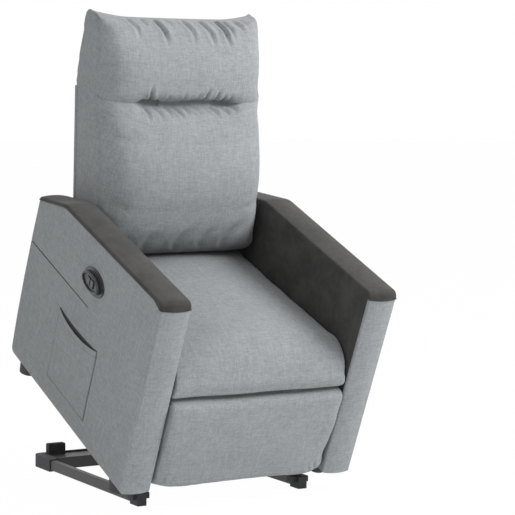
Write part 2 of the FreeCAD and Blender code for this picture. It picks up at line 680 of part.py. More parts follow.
def make_footrest(nodes):
    half = CUSHION_HALF
    pad = loft([pad_outline(half * place, abs(place) ** 8) for place in ACROSS])
    board_half = half - 14.0
    board = box(-board_half, board_half, PAD_REAR_Y - PAD_BOARD, PAD_REAR_Y,
                PAD_BOTTOM + 40.0, PAD_TOP - 18.0)
    nodes["footrest_pad"] = pad.cut(board)
    lugs = []
    for turn in (lambda s: s, mirrored):
        lug = link(BRACKET_IN_X, BRACKET_IN_X + STEP, PAD_DROP_PIVOT,
                   (PAD_REAR_Y - 1.0, PAD_DROP_PIVOT[1]), 12.0)
        lug = lug.common(box(0, SEAT_HALF, PAD_REAR_Y, 0, 0, PAD_TOP))
        foot = box(BRACKET_IN_X, BRACKET_IN_X + 24.0, PAD_REAR_Y, PAD_REAR_Y + 3.0,
                   PAD_DROP_PIVOT[1] - 40.0, PAD_DROP_PIVOT[1] + 40.0)
        pin = rod(BRACKET_IN_X, FOLLOW_X + STEP + 2.0, PAD_DROP_PIVOT, SMALL_PIN)
        lugs.append(turn(lug.fuse([foot, pin])))
    nodes["footrest_board"] = board
    nodes["footrest_brackets"] = group(lugs)
    drive = rod(-DRIVE_X, DRIVE_X, DRIVE_PIVOT, DRIVE_TUBE).cut(
        rod(-DRIVE_X - 1, DRIVE_X + 1, DRIVE_PIVOT, PIN + RUN_FIT))
    arms = []
    for turn in (lambda s: s, mirrored):
        arm = link(DRIVE_X, DRIVE_X + STEP, DRIVE_PIVOT, KNEE, 11.0)
        arm = arm.cut(rod(0, SEAT_HALF, DRIVE_PIVOT, PIN + RUN_FIT))
        pin = rod(FOLLOW_X - 2.0, DRIVE_X, KNEE, SMALL_PIN)
        arms.append(turn(arm.fuse(pin)))
    nodes["footrest_drive"] = drive.fuse(arms).removeSplitter()
    follow = link(FOLLOW_X, FOLLOW_X + STEP, KNEE, PAD_DROP_PIVOT, 11.0)
    follow = follow.cut(rod(0, SEAT_HALF, KNEE, SMALL_PIN + RUN_FIT))
    follow = follow.cut(rod(0, SEAT_HALF, PAD_DROP_PIVOT, SMALL_PIN + RUN_FIT))
    nodes["footrest_link_left"] = follow
    nodes["footrest_link_right"] = mirrored(follow)


# Control, pocket and electrics

def ellipse(x0, x1, long_half, short_half):
    """Oval plate on the right arm, between two X places."""
    curve = Part.Ellipse(vec(0, 0, 0), long_half, short_half).toShape()
    face = Part.Face(Part.Wire([curve]))
    turn = FreeCAD.Placement(vec(x0, *CONTROL), FreeCAD.Rotation(vec(0, 1, 0), vec(0, 0, 1), vec(1, 0, 0)))
    face.Placement = turn
    return face.extrude(vec(x1 - x0, 0, 0))


def button_shape(x0, x1, sign, shrink):
    mid = CONTROL[0] + sign * (BUTTON_LONG / 2.0 + 2.0)
    half = BUTTON_LONG / 2.0 - shrink
    high = BUTTON_HIGH / 2.0 - shrink
    cap = box(x0, x1, mid - half, mid + half, CONTROL[1] - high, CONTROL[1] + high)
    return cap.makeFillet(2.5, [e for e in cap.Edges if abs(e.tangentAt(e.FirstParameter).x) > 0.9])


def make_control(nodes):
    face = -OUTER
    rim = face - FLANGE
    crest = rim - BOSS_DEPTH
    bezel = ellipse(rim, face, CONTROL_LONG, CONTROL_SHORT)
    bezel = rounded(bezel, 1.5, lambda edge: abs(edge.CenterOfMass.x - rim) < 0.01)
    boss = ellipse(crest, rim, BOSS_LONG, BOSS_SHORT)
    boss = rounded(boss, 3.0, lambda edge: abs(edge.CenterOfMass.x - crest) < 0.01)
    well = ellipse(crest - 1.0, crest + RECESS, BOSS_LONG - 8.0, BOSS_SHORT - 7.0)
    bezel = bezel.fuse(boss).cut(well).removeSplitter()
    back = crest + RECESS
    for sign in (-1, 1):
        bezel = bezel.cut(button_shape(crest, face + 1.0, sign, -GAP))
    body = box(face, face + 26.0, CONTROL[0] - 40.0, CONTROL[0] + 40.0,
               CONTROL[1] - 16.0, CONTROL[1] + 16.0)
    body = body.cut(box(face - 1.0, face + 23.0, CONTROL[0] - 37.0, CONTROL[0] + 37.0,
                        CONTROL[1] - 13.0, CONTROL[1] + 13.0))
    switches = []
    for name, sign in (("button_up", 1), ("button_down", -1)):
        mid = CONTROL[0] + sign * (BUTTON_LONG / 2.0 + 2.0)
        cap = button_shape(crest + RECESS - 2.5, face - 1.0, sign, 0.0)
        lip = box(face + GAP, face + 2.0, mid - BUTTON_LONG / 2.0 - 0.6, mid + BUTTON_LONG / 2.0 + 0.6,
                  CONTROL[1] - BUTTON_HIGH / 2.0 - 1.0, CONTROL[1] + BUTTON_HIGH / 2.0 + 1.0)
        neck = box(face - 1.0, face + GAP, mid - 6.0, mid + 6.0, CONTROL[1] - 9.0, CONTROL[1] + 9.0)
        stem = rod(face + 2.0, face + 9.0, (mid, CONTROL[1]), 3.0)
        nodes[name] = cap.fuse([neck, lip, stem]).removeSplitter()
        switches.append(box(face + 9.0 + BUTTON_TRAVEL + 0.3, face + 23.0,
                            mid - 7.0, mid + 7.0, CONTROL[1] - 10.0, CONTROL[1] + 10.0))
    nodes["control_bezel"] = bezel
    nodes["control_housing"] = body
    nodes["control_switches"] = group(switches)


def make_pocket(nodes):
    """Sewn patch on the right arm with a sagging mouth, open at the top."""
    face = -OUTER
    out = face - POCKET_GAP - POCKET_CLOTH
    mid = (POCKET_REAR_Y + POCKET_FRONT_Y) / 2.0
    rear_low = (POCKET_REAR_Y - 4.0, POCKET_BOTTOM)
    steps = [(POCKET_REAR_Y, POCKET_TOP),
             (mid, POCKET_TOP - POCKET_SAG, POCKET_FRONT_Y, POCKET_TOP),
             (POCKET_FRONT_Y + 1.0, POCKET_BOTTOM)]
    bag = prism(out, face, rear_low, steps)
    edge = 5.0
    room = polygon(out + POCKET_CLOTH, face + 1.0, [
        (POCKET_REAR_Y - 4.0 - edge, POCKET_BOTTOM + edge), (POCKET_REAR_Y - edge, POCKET_TOP + 9.0),
        (POCKET_FRONT_Y + edge, POCKET_TOP + 9.0), (POCKET_FRONT_Y + 1.0 + edge, POCKET_BOTTOM + edge)])
    nodes["side_pocket"] = bag.cut(room)


def make_electrics(nodes):
    case = box(*CASE_X, *CASE_Y, STRAP_Z - GAP - CASE_HIGH, STRAP_Z - GAP)
    case = rounded(case, 4.0, lambda edge: abs(edge.tangentAt(edge.FirstParameter).z) > 0.9)
    back = RAIL_REAR_Y + REAR_PANEL
    here = vec(INLET_X, RAIL_REAR_Y, INLET_Z)
    inlet = Part.makeCylinder(INLET_RADIUS, REAR_PANEL, here, vec(0, 1, 0))
    inlet = inlet.fuse(Part.makeCylinder(INLET_FLANGE, 2.0, vec(INLET_X, back, INLET_Z), vec(0, 1, 0)))
    inlet = inlet.removeSplitter().cut(
        Part.makeCylinder(INLET_BORE, INLET_DEPTH, vec(INLET_X, back + 2.0 - INLET_DEPTH, INLET_Z),
                          vec(0, 1, 0)))
    nodes["control_unit"] = case
    nodes["power_inlet"] = inlet


def make_recline_actuator(nodes):
    """Straight drive from the cross bar to the back's crank."""
    a = RECLINE_FOOT
    b = CRANK_REST
    reach = dist(a, b)
    shift = vec(RECLINE_X, 0, 0)
    eye = rod(-11.0, 11.0, a, 9.0).cut(rod(-12.0, 12.0, a, SMALL_PIN + RUN_FIT))
    tube = along(a, b, 14.0, 8.0, reach - 120.0)
    bore = along(a, b, 7.0 + GAP, 60.0, reach)
    gear = slab(-17.0, 17.0, add(a, polar(14.0, heading(a, b))), add(a, polar(58.0, heading(a, b))),
                -46.0, 14.0)
    motor = slab(-15.0, 15.0, add(a, polar(50.0, heading(a, b))), add(a, polar(132.0, heading(a, b))),
                 -46.0, -16.0)
    body = tube.fuse([gear, motor, eye]).cut(bore).cut(rod(-99, 99, a, SMALL_PIN + RUN_FIT))
    nodes["recline_actuator"] = moved(body.removeSplitter(), shift)
    thrust = along(a, b, 7.0, 70.0 - RECLINE_STROKE, reach - 19.0)
    fork = slab(-11.0, 11.0, add(a, polar(reach - 24.0, heading(a, b))),
                add(a, polar(reach + 13.0, heading(a, b))), -8.0 - CRANK_DRIFT, 8.0 + CRANK_DRIFT)
    fork = fork.cut(slab(-5.0, 5.0, add(a, polar(reach - 18.0, heading(a, b))),
                         add(a, polar(reach + 20.0, heading(a, b))), -40.0, 40.0))
    slot = slab(-20.0, 20.0, add(a, polar(reach - SMALL_PIN - 0.9, heading(a, b))),
                add(a, polar(reach + SMALL_PIN + 0.9, heading(a, b))),
                -SMALL_PIN - CRANK_DRIFT - GAP, SMALL_PIN + CRANK_DRIFT + GAP)
    nodes["recline_actuator_rod"] = moved(thrust.fuse(fork).cut(slot).removeSplitter(), shift)


def moved(shape, by):
    copy = shape.copy()
    copy.translate(by)
    return copy


# Base and lift linkage, drawn where they stand

def make_base(nodes):
    out = BASE_OUT
    low = BASE_LIFT
    high = low + BASE_TUBE_HIGH
    rear = -ELBOW_LENGTH + 30.0
    tube = box(out - BASE_TUBE, out, BASE_FRONT_Y + 4.0, rear, low, high)
    tube = rounded(tube, 3.0, lambda edge: abs(edge.tangentAt(edge.FirstParameter).y) > 0.9)
    hollow = box(out - BASE_TUBE + WALL, out - WALL, BASE_FRONT_Y, rear + 1, low + WALL, high - WALL)
    tube = tube.cut(hollow)
    nodes["base_rail_left"] = tube
    nodes["base_rail_right"] = mirrored(tube)
    sleeve = box(out - BASE_TUBE - 3.0, out + 3.0, BASE_FRONT_Y, BASE_FRONT_Y + 45.0, 0.0, high + 3.0)
    sleeve = rounded(sleeve, 2.5, lambda edge: edge.CenterOfMass.z > high + 2.9)
    lugs = box(out - BASE_TUBE - 17.0, out + 14.0, BASE_FRONT_Y + 10.0, BASE_FRONT_Y + 40.0,
               LUG_BOTTOM, high + 1.0)
    sleeve = sleeve.fuse(lugs).removeSplitter()
    sleeve = sleeve.cut(box(out - BASE_TUBE, out, BASE_FRONT_Y + 4.0, 0, low, high))
    nodes["base_foot_caps"] = both(sleeve)
    elbow_in = out - BASE_TUBE - 3.0
    elbow = box(elbow_in, out + 3.0, -ELBOW_LENGTH, 0.0, 0.0, high + 3.0)
    elbow = elbow.fuse(box(elbow_in - 28.0, out + 3.0, -TRAY_DEPTH + 1.0, 0.0, 0.0, high + 3.0))
    elbow = elbow.removeSplitter()
    corner = [e for e in elbow.Edges if abs(e.tangentAt(e.FirstParameter).z) > 0.9
              and e.CenterOfMass.x > out + 2.0 and e.CenterOfMass.y > -1.0]
    elbow = elbow.makeFillet(26.0, corner)
    elbow = elbow.cut(box(out - BASE_TUBE, out, -999, rear, low, high))
    elbow = elbow.cut(box(0, elbow_in - 8.0, -TRAY_DEPTH - 1.0, 1.0, 2.0, high + 9.0))
    nodes["base_corner_left"] = elbow
    nodes["base_corner_right"] = mirrored(elbow)
    tray_half = elbow_in - 8.0
    tray = box(-tray_half, tray_half, -TRAY_DEPTH, 0.0, 2.0, TRAY_HIGH)
    tray = tray.cut(box(-tray_half - 1, tray_half + 1, -TRAY_DEPTH + 6.0, -6.0, TRAY_HIGH - 5.0, 99))
    tray = tray.cut(box(-tray_half - 1, tray_half + 1, -TRAY_DEPTH + 6.0, -6.0, 0.0, 2.0 + 20.0))
    nodes["base_tray"] = tray
    top = REAR_PANEL_LOW - STOP_GAP
    inside = SEAT_HALF - STOP_IN
    outside = SEAT_HALF - STOP_OUT
    block = box(inside, outside, -STOP_DEPTH, 0.0, TRAY_HIGH, top).fuse(
        box(inside, outside, -STOP_DEPTH, -6.0, TRAY_HIGH - 5.0, top))
    block = rounded(block.removeSplitter(), 4.0, lambda edge: edge.CenterOfMass.z > top - 0.1)
    nodes["base_stop_blocks"] = both(block)
    x0 = BRACKET_X
    bracket = polygon(x0, x0 + THIN_PLATE, [
        (ARM_BASE[0] - 26.0, high), (ARM_BASE[0] + 46.0, high), (ARM_BASE[0] + 22.0, ARM_BASE[1]),
        (GUIDE_BASE[0] + 20.0, GUIDE_BASE[1] + 16.0), (GUIDE_BASE[0] - 16.0, GUIDE_BASE[1] + 16.0),
        (ARM_BASE[0] - 24.0, ARM_BASE[1] - 10.0)])
    bracket = bracket.cut(rod(0, SEAT_HALF, ARM_BASE, PIN)).cut(rod(0, SEAT_HALF, GUIDE_BASE, PIN))
    cap_room = box(0, SEAT_HALF, BASE_FRONT_Y - 1, BASE_FRONT_Y + 45.0 + GAP, 0, high + 3.0 + GAP)
    bracket = bracket.cut(cap_room)
    nodes["base_bracket_left"] = bracket
    nodes["base_bracket_right"] = mirrored(bracket)
    cheeks = []
    for x in (-18.0, 12.0):
        cheek = polygon(x, x + 6.0, [
            (-90.0, TRAY_HIGH + 4.0), (-90.0, TRAY_HIGH - 5.0),
            (-36.0, TRAY_HIGH - 5.0), (-36.0, TRAY_HIGH + 4.0),
            (LIFT_FOOT[0] + 14.0, LIFT_FOOT[1] + 14.0), (LIFT_FOOT[0] - 14.0, LIFT_FOOT[1] + 14.0)])
        cheeks.append(cheek.cut(rod(x - 1, x + 9, LIFT_FOOT, PIN)))
    nodes["base_actuator_clevis"] = group(cheeks)
    pins = [rod(-18.0, 18.0, LIFT_FOOT, PIN)]
    for turn in (lambda s: s, mirrored):
        pins.append(turn(rod(LIFT_ARM_X - 4.0, BRACKET_X + THIN_PLATE, ARM_BASE, PIN)))
        pins.append(turn(rod(GUIDE_X - 2.0, BRACKET_X + THIN_PLATE, GUIDE_BASE, PIN)))
    nodes["base_pins"] = group(pins)


def make_lift(nodes):
    x0 = LIFT_ARM_X
    arm = link(x0, x0 + PLATE, ARM_BASE, ARM_HIGH, 15.0)
    for hole in (ARM_BASE, ARM_HIGH):
        arm = arm.cut(rod(0, SEAT_HALF, hole, PIN + RUN_FIT))
    nodes["lift_arm_left"] = arm
    nodes["lift_arm_right"] = mirrored(arm)
    tube = rod(-x0, x0, ARM_BASE, TORQUE_TUBE)
    for sign in (1, -1):
        hole = rod(x0 - 12.0, x0 + 1.0, ARM_BASE, PIN + 3.0)
        tube = tube.cut(hole if sign > 0 else mirrored(hole))
    levers = []
    for x in (-18.0, 12.0):
        levers.append(link(x, x + 6.0, ARM_BASE, LEVER_HIGH, 13.0))
    pin = rod(-18.0, 18.0, LEVER_HIGH, PIN)
    nodes["lift_torque_tube"] = tube.fuse(levers + [pin]).removeSplitter()
    guide = link(GUIDE_X, GUIDE_X + THIN_PLATE, GUIDE_BASE, GUIDE_HIGH, 12.0)
    guide = guide.cut(rod(0, SEAT_HALF, GUIDE_BASE, PIN + RUN_FIT))
    guide = guide.cut(rod(0, SEAT_HALF, GUIDE_HIGH, PIN + GUIDE_DRIFT + GAP))
    nodes["guide_link_left"] = guide
    nodes["guide_link_right"] = mirrored(guide)
    a = LIFT_FOOT
    b = LEVER_HIGH
    aim = heading(a, b)
    reach = dist(a, b)
    low_reach = reach - LIFT_STROKE
    tube_end = low_reach - 40.0
    eye = rod(-11.5, 11.5, a, 13.0)
    tube = along(a, b, 17.0, 34.0, tube_end)
    neck = slab(-11.0, 11.0, a, add(a, polar(40.0, aim)), -10.0, 10.0)
    gear = slab(-21.0, 21.0, add(a, polar(36.0, aim)), add(a, polar(98.0, aim)), -62.0, 20.0)
    gear = rounded(gear, 6.0, lambda edge: abs(edge.tangentAt(edge.FirstParameter).x) > 0.9)
    motor = along(a, b, 19.0, 84.0, 210.0)
    motor = moved(motor, vec(0, *polar(-40.0, aim + 90.0)))
    bore = along(a, b, 9.0 + GAP, 100.0, reach)
    body = tube.fuse([gear, motor, neck, eye]).cut(bore).cut(rod(-99, 99, a, PIN + RUN_FIT))
    nodes["lift_actuator"] = body.removeSplitter()
    thrust = along(a, b, 9.0, 110.0 + LIFT_STROKE, reach - PIN - 4.0)
    side = PIN + LEVER_DRIFT + GAP
    eye = slab(-9.0, 9.0, add(a, polar(reach - 16.0, aim)), add(a, polar(reach + 14.0, aim)),
               -side - 7.0, side + 7.0)
    eye = rounded(eye, 5.0, lambda edge: abs(edge.tangentAt(edge.FirstParameter).x) > 0.9)
    slot = slab(-12.0, 12.0, add(a, polar(reach - PIN - 0.9, aim)), add(a, polar(reach + PIN + 0.9, aim)),
                -side, side)
    nodes["lift_actuator_rod"] = thrust.fuse(eye).cut(slot).removeSplitter()


BASE_NODES = {}
CHAIR_NODES = {}


def lift_placement():
    """Placement that carries the seat frame to the raised chair."""
    turn = FreeCAD.Rotation(vec(1, 0, 0), LIFT_TILT)
    start = raised((0.0, 0.0))
    return FreeCAD.Placement(vec(0, *start), turn)


def build():
    """All sub-parts by name, with the origin under the middle of the whole chair."""
    for maker in (make_arms, make_feet, make_seat, make_chassis, make_back, make_footrest,
                  make_control, make_pocket, make_electrics, make_recline_actuator):
        maker(CHAIR_NODES)
    for maker in (make_base, make_lift):
        maker(BASE_NODES)
    place = lift_placement()
    nodes = dict(BASE_NODES)
    for name, shape in CHAIR_NODES.items():
        nodes[name] = placed(shape, place)
    bounds = FreeCAD.BoundBox()
    for shape in nodes.values():
        bounds.add(shape.optimalBoundingBox(False, False))
    shift = vec(0, -bounds.Center.y, -bounds.ZMin)
    return {name: moved(shape, shift) for name, shape in nodes.items()}, shift


def placed(shape, place):
    copy = shape.copy()
    copy.Placement = place.multiply(copy.Placement)
    return copy


NODES, SHIFT = build()
os.makedirs("parts", exist_ok=True)
for node, solid in NODES.items():
    solid.exportStep("parts/" + node + ".step")
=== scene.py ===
import json
import math
import random

import bmesh
import bpy
import numpy as np
from mathutils import Matrix, Vector


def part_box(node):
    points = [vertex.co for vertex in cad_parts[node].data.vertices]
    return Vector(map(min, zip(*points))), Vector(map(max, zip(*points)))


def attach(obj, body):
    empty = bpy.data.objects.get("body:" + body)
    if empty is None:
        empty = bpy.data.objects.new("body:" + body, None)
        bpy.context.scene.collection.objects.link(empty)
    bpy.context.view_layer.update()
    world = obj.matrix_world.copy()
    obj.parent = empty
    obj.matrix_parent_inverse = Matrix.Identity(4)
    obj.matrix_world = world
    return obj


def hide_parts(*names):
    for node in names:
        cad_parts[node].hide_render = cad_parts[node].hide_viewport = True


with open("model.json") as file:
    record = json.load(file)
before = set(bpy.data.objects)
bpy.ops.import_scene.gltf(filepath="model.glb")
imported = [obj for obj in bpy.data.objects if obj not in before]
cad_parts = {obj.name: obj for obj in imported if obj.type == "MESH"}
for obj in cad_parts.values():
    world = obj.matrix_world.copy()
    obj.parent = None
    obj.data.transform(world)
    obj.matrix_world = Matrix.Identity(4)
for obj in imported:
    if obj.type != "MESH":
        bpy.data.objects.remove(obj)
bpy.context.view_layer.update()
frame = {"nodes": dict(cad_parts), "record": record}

bl_info = {
    "name": "Lift recliner chair",
    "version": (1, 0, 0),
    "blender": (4, 5, 0),
    "location": "View3D > Sidebar > Recliner",
    "description": "Upholstery, trim and finishes over the frame of a lift recliner chair",
    "category": "Object",
}

# The chair is shaped in its seat frame, where it stands level on its feet and y = 0 is the
# rear edge of the arms, and is then tipped onto the raised base.
TILT = math.radians(23.17)
BASE_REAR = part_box("base_tray")[1].y
TO_ROW = (Matrix.Translation((0.0, math.cos(TILT) * 0.365 - 0.3641 + BASE_REAR,
                              math.sin(TILT) * 0.365 + 0.1599))
          @ Matrix.Rotation(TILT, 4, "X"))
TO_SEAT = TO_ROW.inverted()

ARM_INNER = 0.2665
ARM_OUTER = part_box("arm_side_cover_left")[1].x
ARM_FRONT = -0.740
ARM_BEND = -0.158
ARM_UNDERSIDE = 0.047
ARM_BOW = 0.0085        # how far the middle of an arm's front bows out
PAD_PROUD = 0.0006      # how far the dark pad stands past the sides of its arm
CONTROL_Y = -0.391
CONTROL_Z = 0.478
WHITE = (1.0, 1.0, 1.0, 1.0)
SLIT_TIP = 0.3980       # height of the pointed front end of the slit
FOLD_LEAN = 0.5         # the folds of the back are laid out over z + FOLD_LEAN * y
SEAM_Y = -0.076         # place of the back's front at the seam under the headrest
SEAM_Z = 0.8475


def measure(name, description, default, low, high):
    """A length in metres for the panel."""
    return bpy.props.FloatProperty(name=name, description=description, default=default, min=low,
                                   max=high, subtype="DISTANCE", unit="LENGTH")


def tint(name, description, default):
    """A colour for the panel."""
    return bpy.props.FloatVectorProperty(name=name, description=description, default=default,
                                         subtype="COLOR", size=3, min=0.0, max=1.0)


class ChairSizes(bpy.types.PropertyGroup):
    voxel: measure("Cloth mesh size", "Spacing of the mesh that the padding is shaped from",
        0.006, 0.004, 0.012)
    swell: measure("Padding swell", "Most that the stuffing pushes a cover outwards",
        0.0042, 0.0, 0.03)
    draw: measure("Cover draw", "How far a cover is drawn in before it is stuffed",
        0.003, 0.0, 0.02)
    pad_fold: measure("Arm pad fold", "How far the dark arm cover folds over the sides",
        0.007, 0.005, 0.04)
    pad_crown: measure("Arm pad crown", "How much the middle of an arm pad stands up",
        0.0055, 0.0, 0.01)
    piping: measure("Piping radius", "Radius of the sewn cord along the arm covers",
        0.0014, 0.001, 0.004)
    arm_round: measure("Arm rounding", "Rounding of the arms' outer edges",
        0.0055, 0.003, 0.019)
    pocket_gape: measure("Pocket gape", "How far the mouth of the side pocket stands open",
        0.0055, 0.002, 0.012)


class ChairColours(bpy.types.PropertyGroup):
    cloth_light: tint("Cloth, light yarn", "Lighter yarn of the grey cloth", (0.328, 0.345, 0.355))
    cloth_dark: tint("Cloth, dark yarn", "Darker yarn of the grey cloth", (0.220, 0.233, 0.242))
    arm_light: tint("Arm cloth, light", "Brushed patches of the dark arm covers", (0.064, 0.062, 0.059))
    arm_dark: tint("Arm cloth, dark", "Ground of the dark arm covers", (0.034, 0.033, 0.032))
    plastic: tint("Plastic", "Moulded feet and corners", (0.028, 0.028, 0.030))
    steel: tint("Painted steel", "Powder-coated base and links", (0.045, 0.045, 0.047))
    bare_steel: tint("Bare steel", "Pins and thrust rods", (0.42, 0.42, 0.43))
    gloss: tint("Control", "Glossy control on the right arm", (0.018, 0.018, 0.019))
    floor: tint("Floor", "Studio floor", (1.0, 1.0, 1.0))


# Shader groups and materials

class Wiring:
    """A node tree with short ways to add and join its nodes."""

    def __init__(self, tree):
        self.tree = tree

    def node(self, kind, **settings):
        made = self.tree.nodes.new(kind)
        for key, value in settings.items():
            setattr(made, key, value)
        return made

    def put(self, value, socket):
        if isinstance(value, bpy.types.NodeSocket):
            self.tree.links.new(value, socket)
        elif value is not None:
            socket.default_value = value

    def sum(self, operation, a, b=None, c=None, clamp=False):
        made = self.node("ShaderNodeMath", operation=operation, use_clamp=clamp)
        for value, socket in zip((a, b, c), made.inputs):
            self.put(value, socket)
        return made.outputs[0]

    def vector(self, operation, a, b=None):
        made = self.node("ShaderNodeVectorMath", operation=operation)
        self.put(a, made.inputs[0])
        self.put(b, made.inputs[1])
        return made.outputs[0]

    def mix(self, share, a, b):
        made = self.node("ShaderNodeMix", data_type="RGBA")
        self.put(share, made.inputs[0])
        self.put(a, made.inputs[6])
        self.put(b, made.inputs[7])
        return made.outputs[2]

    def noise(self, vector, scale, detail=2.0, rough=0.5):
        made = self.node("ShaderNodeTexNoise")
        self.put(vector, made.inputs["Vector"])
        self.put(scale, made.inputs["Scale"])
        made.inputs["Detail"].default_value = detail
        made.inputs["Roughness"].default_value = rough
        return made.outputs["Fac"]

    def ramp(self, value, low, high):
        made = self.node("ShaderNodeMapRange", interpolation_type="SMOOTHSTEP")
        self.put(value, made.inputs["Value"])
        self.put(low, made.inputs["From Min"])
        self.put(high, made.inputs["From Max"])
        return made.outputs["Result"]


def shader_group(name, inputs, outputs):
    """A new shader group with (kind, name, default) inputs and (kind, name) outputs."""
    tree = bpy.data.node_groups.new(name, "ShaderNodeTree")
    for kind, label, value in inputs:
        socket = tree.interface.new_socket(label, in_out="INPUT", socket_type="NodeSocket" + kind)
        if value is not None:
            socket.default_value = value
    for kind, label in outputs:
        tree.interface.new_socket(label, in_out="OUTPUT", socket_type="NodeSocket" + kind)
    wiring = Wiring(tree)
    return wiring, wiring.node("NodeGroupInput").outputs, wiring.node("NodeGroupOutput").inputs


def make_weave_group():
    """Linen-like weave of uneven yarns, laid on the flattest side of the cloth."""
    w, given, out = shader_group(
        "Cloth weave",
        [("Vector", "Place", None), ("Vector", "Facing", None), ("Float", "Yarn", 0.0011),
         ("Float", "Slub", 0.022)],
        [("Float", "Shade"), ("Float", "Height")])
    place = w.node("ShaderNodeSeparateXYZ")
    w.put(given["Place"], place.inputs[0])
    facing = w.node("ShaderNodeSeparateXYZ")
    w.put(w.vector("ABSOLUTE", given["Facing"]), facing.inputs[0])
    x, y, z = facing.outputs
    side_on = w.sum("GREATER_THAN", x, w.sum("MAXIMUM", y, z))
    flat_on = w.sum("MULTIPLY", w.sum("GREATER_THAN", z, y), w.sum("SUBTRACT", 1.0, side_on))

    def either(share, one, other):
        return w.sum("MULTIPLY_ADD", share, w.sum("SUBTRACT", one, other), other)

    u = either(side_on, place.outputs[1], place.outputs[0])
    v = either(flat_on, place.outputs[1], place.outputs[2])

    def streak(along, across, stretch, thick, seed):
        spot = w.node("ShaderNodeCombineXYZ")
        w.put(w.sum("DIVIDE", along, w.sum("MULTIPLY", given["Slub"], stretch)), spot.inputs[0])
        w.put(w.sum("DIVIDE", across, w.sum("MULTIPLY", given["Yarn"], thick)), spot.inputs[1])
        spot.inputs[2].default_value = seed
        return w.noise(spot.outputs[0], 1.0, 1.0, 0.6)

    weft = w.sum("ADD", streak(u, v, 1.0, 2.6, 1.5), streak(u, v, 0.35, 1.3, 7.5))
    warp = w.sum("ADD", streak(v, u, 1.0, 2.6, 3.5), streak(v, u, 0.35, 1.3, 11.5))
    both = w.sum("MULTIPLY", w.sum("ADD", weft, warp), 0.25)
    patch = w.noise(given["Place"], 9.0, 3.0, 0.55)
    shade = w.sum("ADD", w.sum("MULTIPLY", w.sum("SUBTRACT", both, 0.5), 4.2),
                  w.sum("MULTIPLY_ADD", w.sum("SUBTRACT", patch, 0.5), 0.35, 0.5), clamp=True)
    w.put(shade, out["Shade"])
    turn = w.sum("DIVIDE", 6.2832, w.sum("MULTIPLY", given["Yarn"], 2.0))
    ribs = w.sum("MULTIPLY", w.sum("SINE", w.sum("MULTIPLY", u, turn)),
                 w.sum("SINE", w.sum("MULTIPLY", v, turn)))
    w.put(w.sum("MULTIPLY_ADD", ribs, 0.25, both), out["Height"])
    return w.tree


def make_grain_group():
    """Fine moulded or painted grain with slow patches of wear."""
    w, given, out = shader_group(
        "Fine grain", [("Vector", "Place", None), ("Float", "Grain", 900.0), ("Float", "Patch", 14.0)],
        [("Float", "Grain"), ("Float", "Wear")])
    w.put(w.noise(given["Place"], given["Grain"], 2.0, 0.6), out["Grain"])
    rough = w.noise(given["Place"], given["Patch"], 5.0, 0.65)
    w.put(w.ramp(rough, 0.42, 0.68), out["Wear"])
    return w.tree


def make_edge_group():
    """Mask of outer edges that rub paler in use."""
    w, given, out = shader_group("Rubbed edges", [("Float", "Width", 0.0015), ("Vector", "Place", None)],
                                 [("Float", "Edge")])
    bevel = w.node("ShaderNodeBevel", samples=4)
    w.put(given["Width"], bevel.inputs["Radius"])
    plain = w.node("ShaderNodeNewGeometry")
    dot = w.node("ShaderNodeVectorMath", operation="DOT_PRODUCT")
    w.put(bevel.outputs["Normal"], dot.inputs[0])
    w.put(plain.outputs["Normal"], dot.inputs[1])
    spots = w.noise(given["Place"], 60.0, 3.0, 0.6)
    edge = w.ramp(w.sum("SUBTRACT", 1.0, dot.outputs["Value"]), 0.02, 0.22)
    w.put(w.sum("MULTIPLY", edge, w.ramp(spots, 0.35, 0.65)), out["Edge"])
    return w.tree


def levelled(w, output, kind):
    """A texture coordinate, turned so that the chair stands level."""
    coords = w.node("ShaderNodeTexCoord")
    level = w.node("ShaderNodeMapping", vector_type=kind)
    level.inputs["Rotation"].default_value = (-TILT, 0.0, 0.0)
    w.put(coords.outputs[output], level.inputs["Vector"])
    return level.outputs[0]


def new_material(name, roughness):
    """A material with its Principled shader, and the chair's own place."""
    material = bpy.data.materials.new(name)
    material.use_nodes = True
    w = Wiring(material.node_tree)
    shader = material.node_tree.nodes["Principled BSDF"]
    shader.inputs["Roughness"].default_value = roughness
    return material, w, shader, levelled(w, "Object", "POINT")


def use_group(w, tree, **values):
    made = w.node("ShaderNodeGroup", node_tree=tree)
    for label, value in values.items():
        w.put(value, made.inputs[label.replace("_", " ")])
    return made.outputs


def settle(shader, **values):
    """Sets inputs of a shader by their names, with _ for a space."""
    for label, value in values.items():
        shader.inputs[label.replace("_", " ")].default_value = value


def weave_of(w, groups, place, **yarns):
    facing = levelled(w, "Normal", "VECTOR")
    return use_group(w, groups["weave"], Place=place, Facing=facing, **yarns)


def bump(w, shader, height, strength, distance):
    made = w.node("ShaderNodeBump")
    made.inputs["Strength"].default_value = strength
    made.inputs["Distance"].default_value = distance
    w.put(height, made.inputs["Height"])
    w.put(made.outputs[0], shader.inputs["Normal"])


def colour(value, gain=1.0):
    return tuple(min(1.0, part * gain) for part in value) + (1.0,)


def make_cloth(groups, colours):
    """Grey linen-look cloth. A crease attribute of painted shade darkens its seams, folds and the joins
    between parts.
    """
    material, w, shader, place = new_material("grey_linen_cloth", 0.92)
    weave = weave_of(w, groups, place)
    ground = w.mix(weave["Shade"], colour(colours.cloth_dark), colour(colours.cloth_light))
    # Painted shade: the crease attribute darkens the cloth in seams, folds and joins.
    seam = w.node("ShaderNodeAttribute", attribute_name="crease")
    dark = w.mix(w.sum("MULTIPLY", seam.outputs["Fac"], 0.86, clamp=True), ground,
                 colour(colours.cloth_dark, 0.36))
    w.put(dark, shader.inputs["Base Color"])
    w.put(w.sum("MULTIPLY_ADD", weave["Shade"], -0.08, 0.94), shader.inputs["Roughness"])
    settle(shader, Sheen_Weight=0.12, Sheen_Roughness=0.5, Specular_IOR_Level=0.2)
    bump(w, shader, weave["Height"], 0.55, 0.0006)
    return material


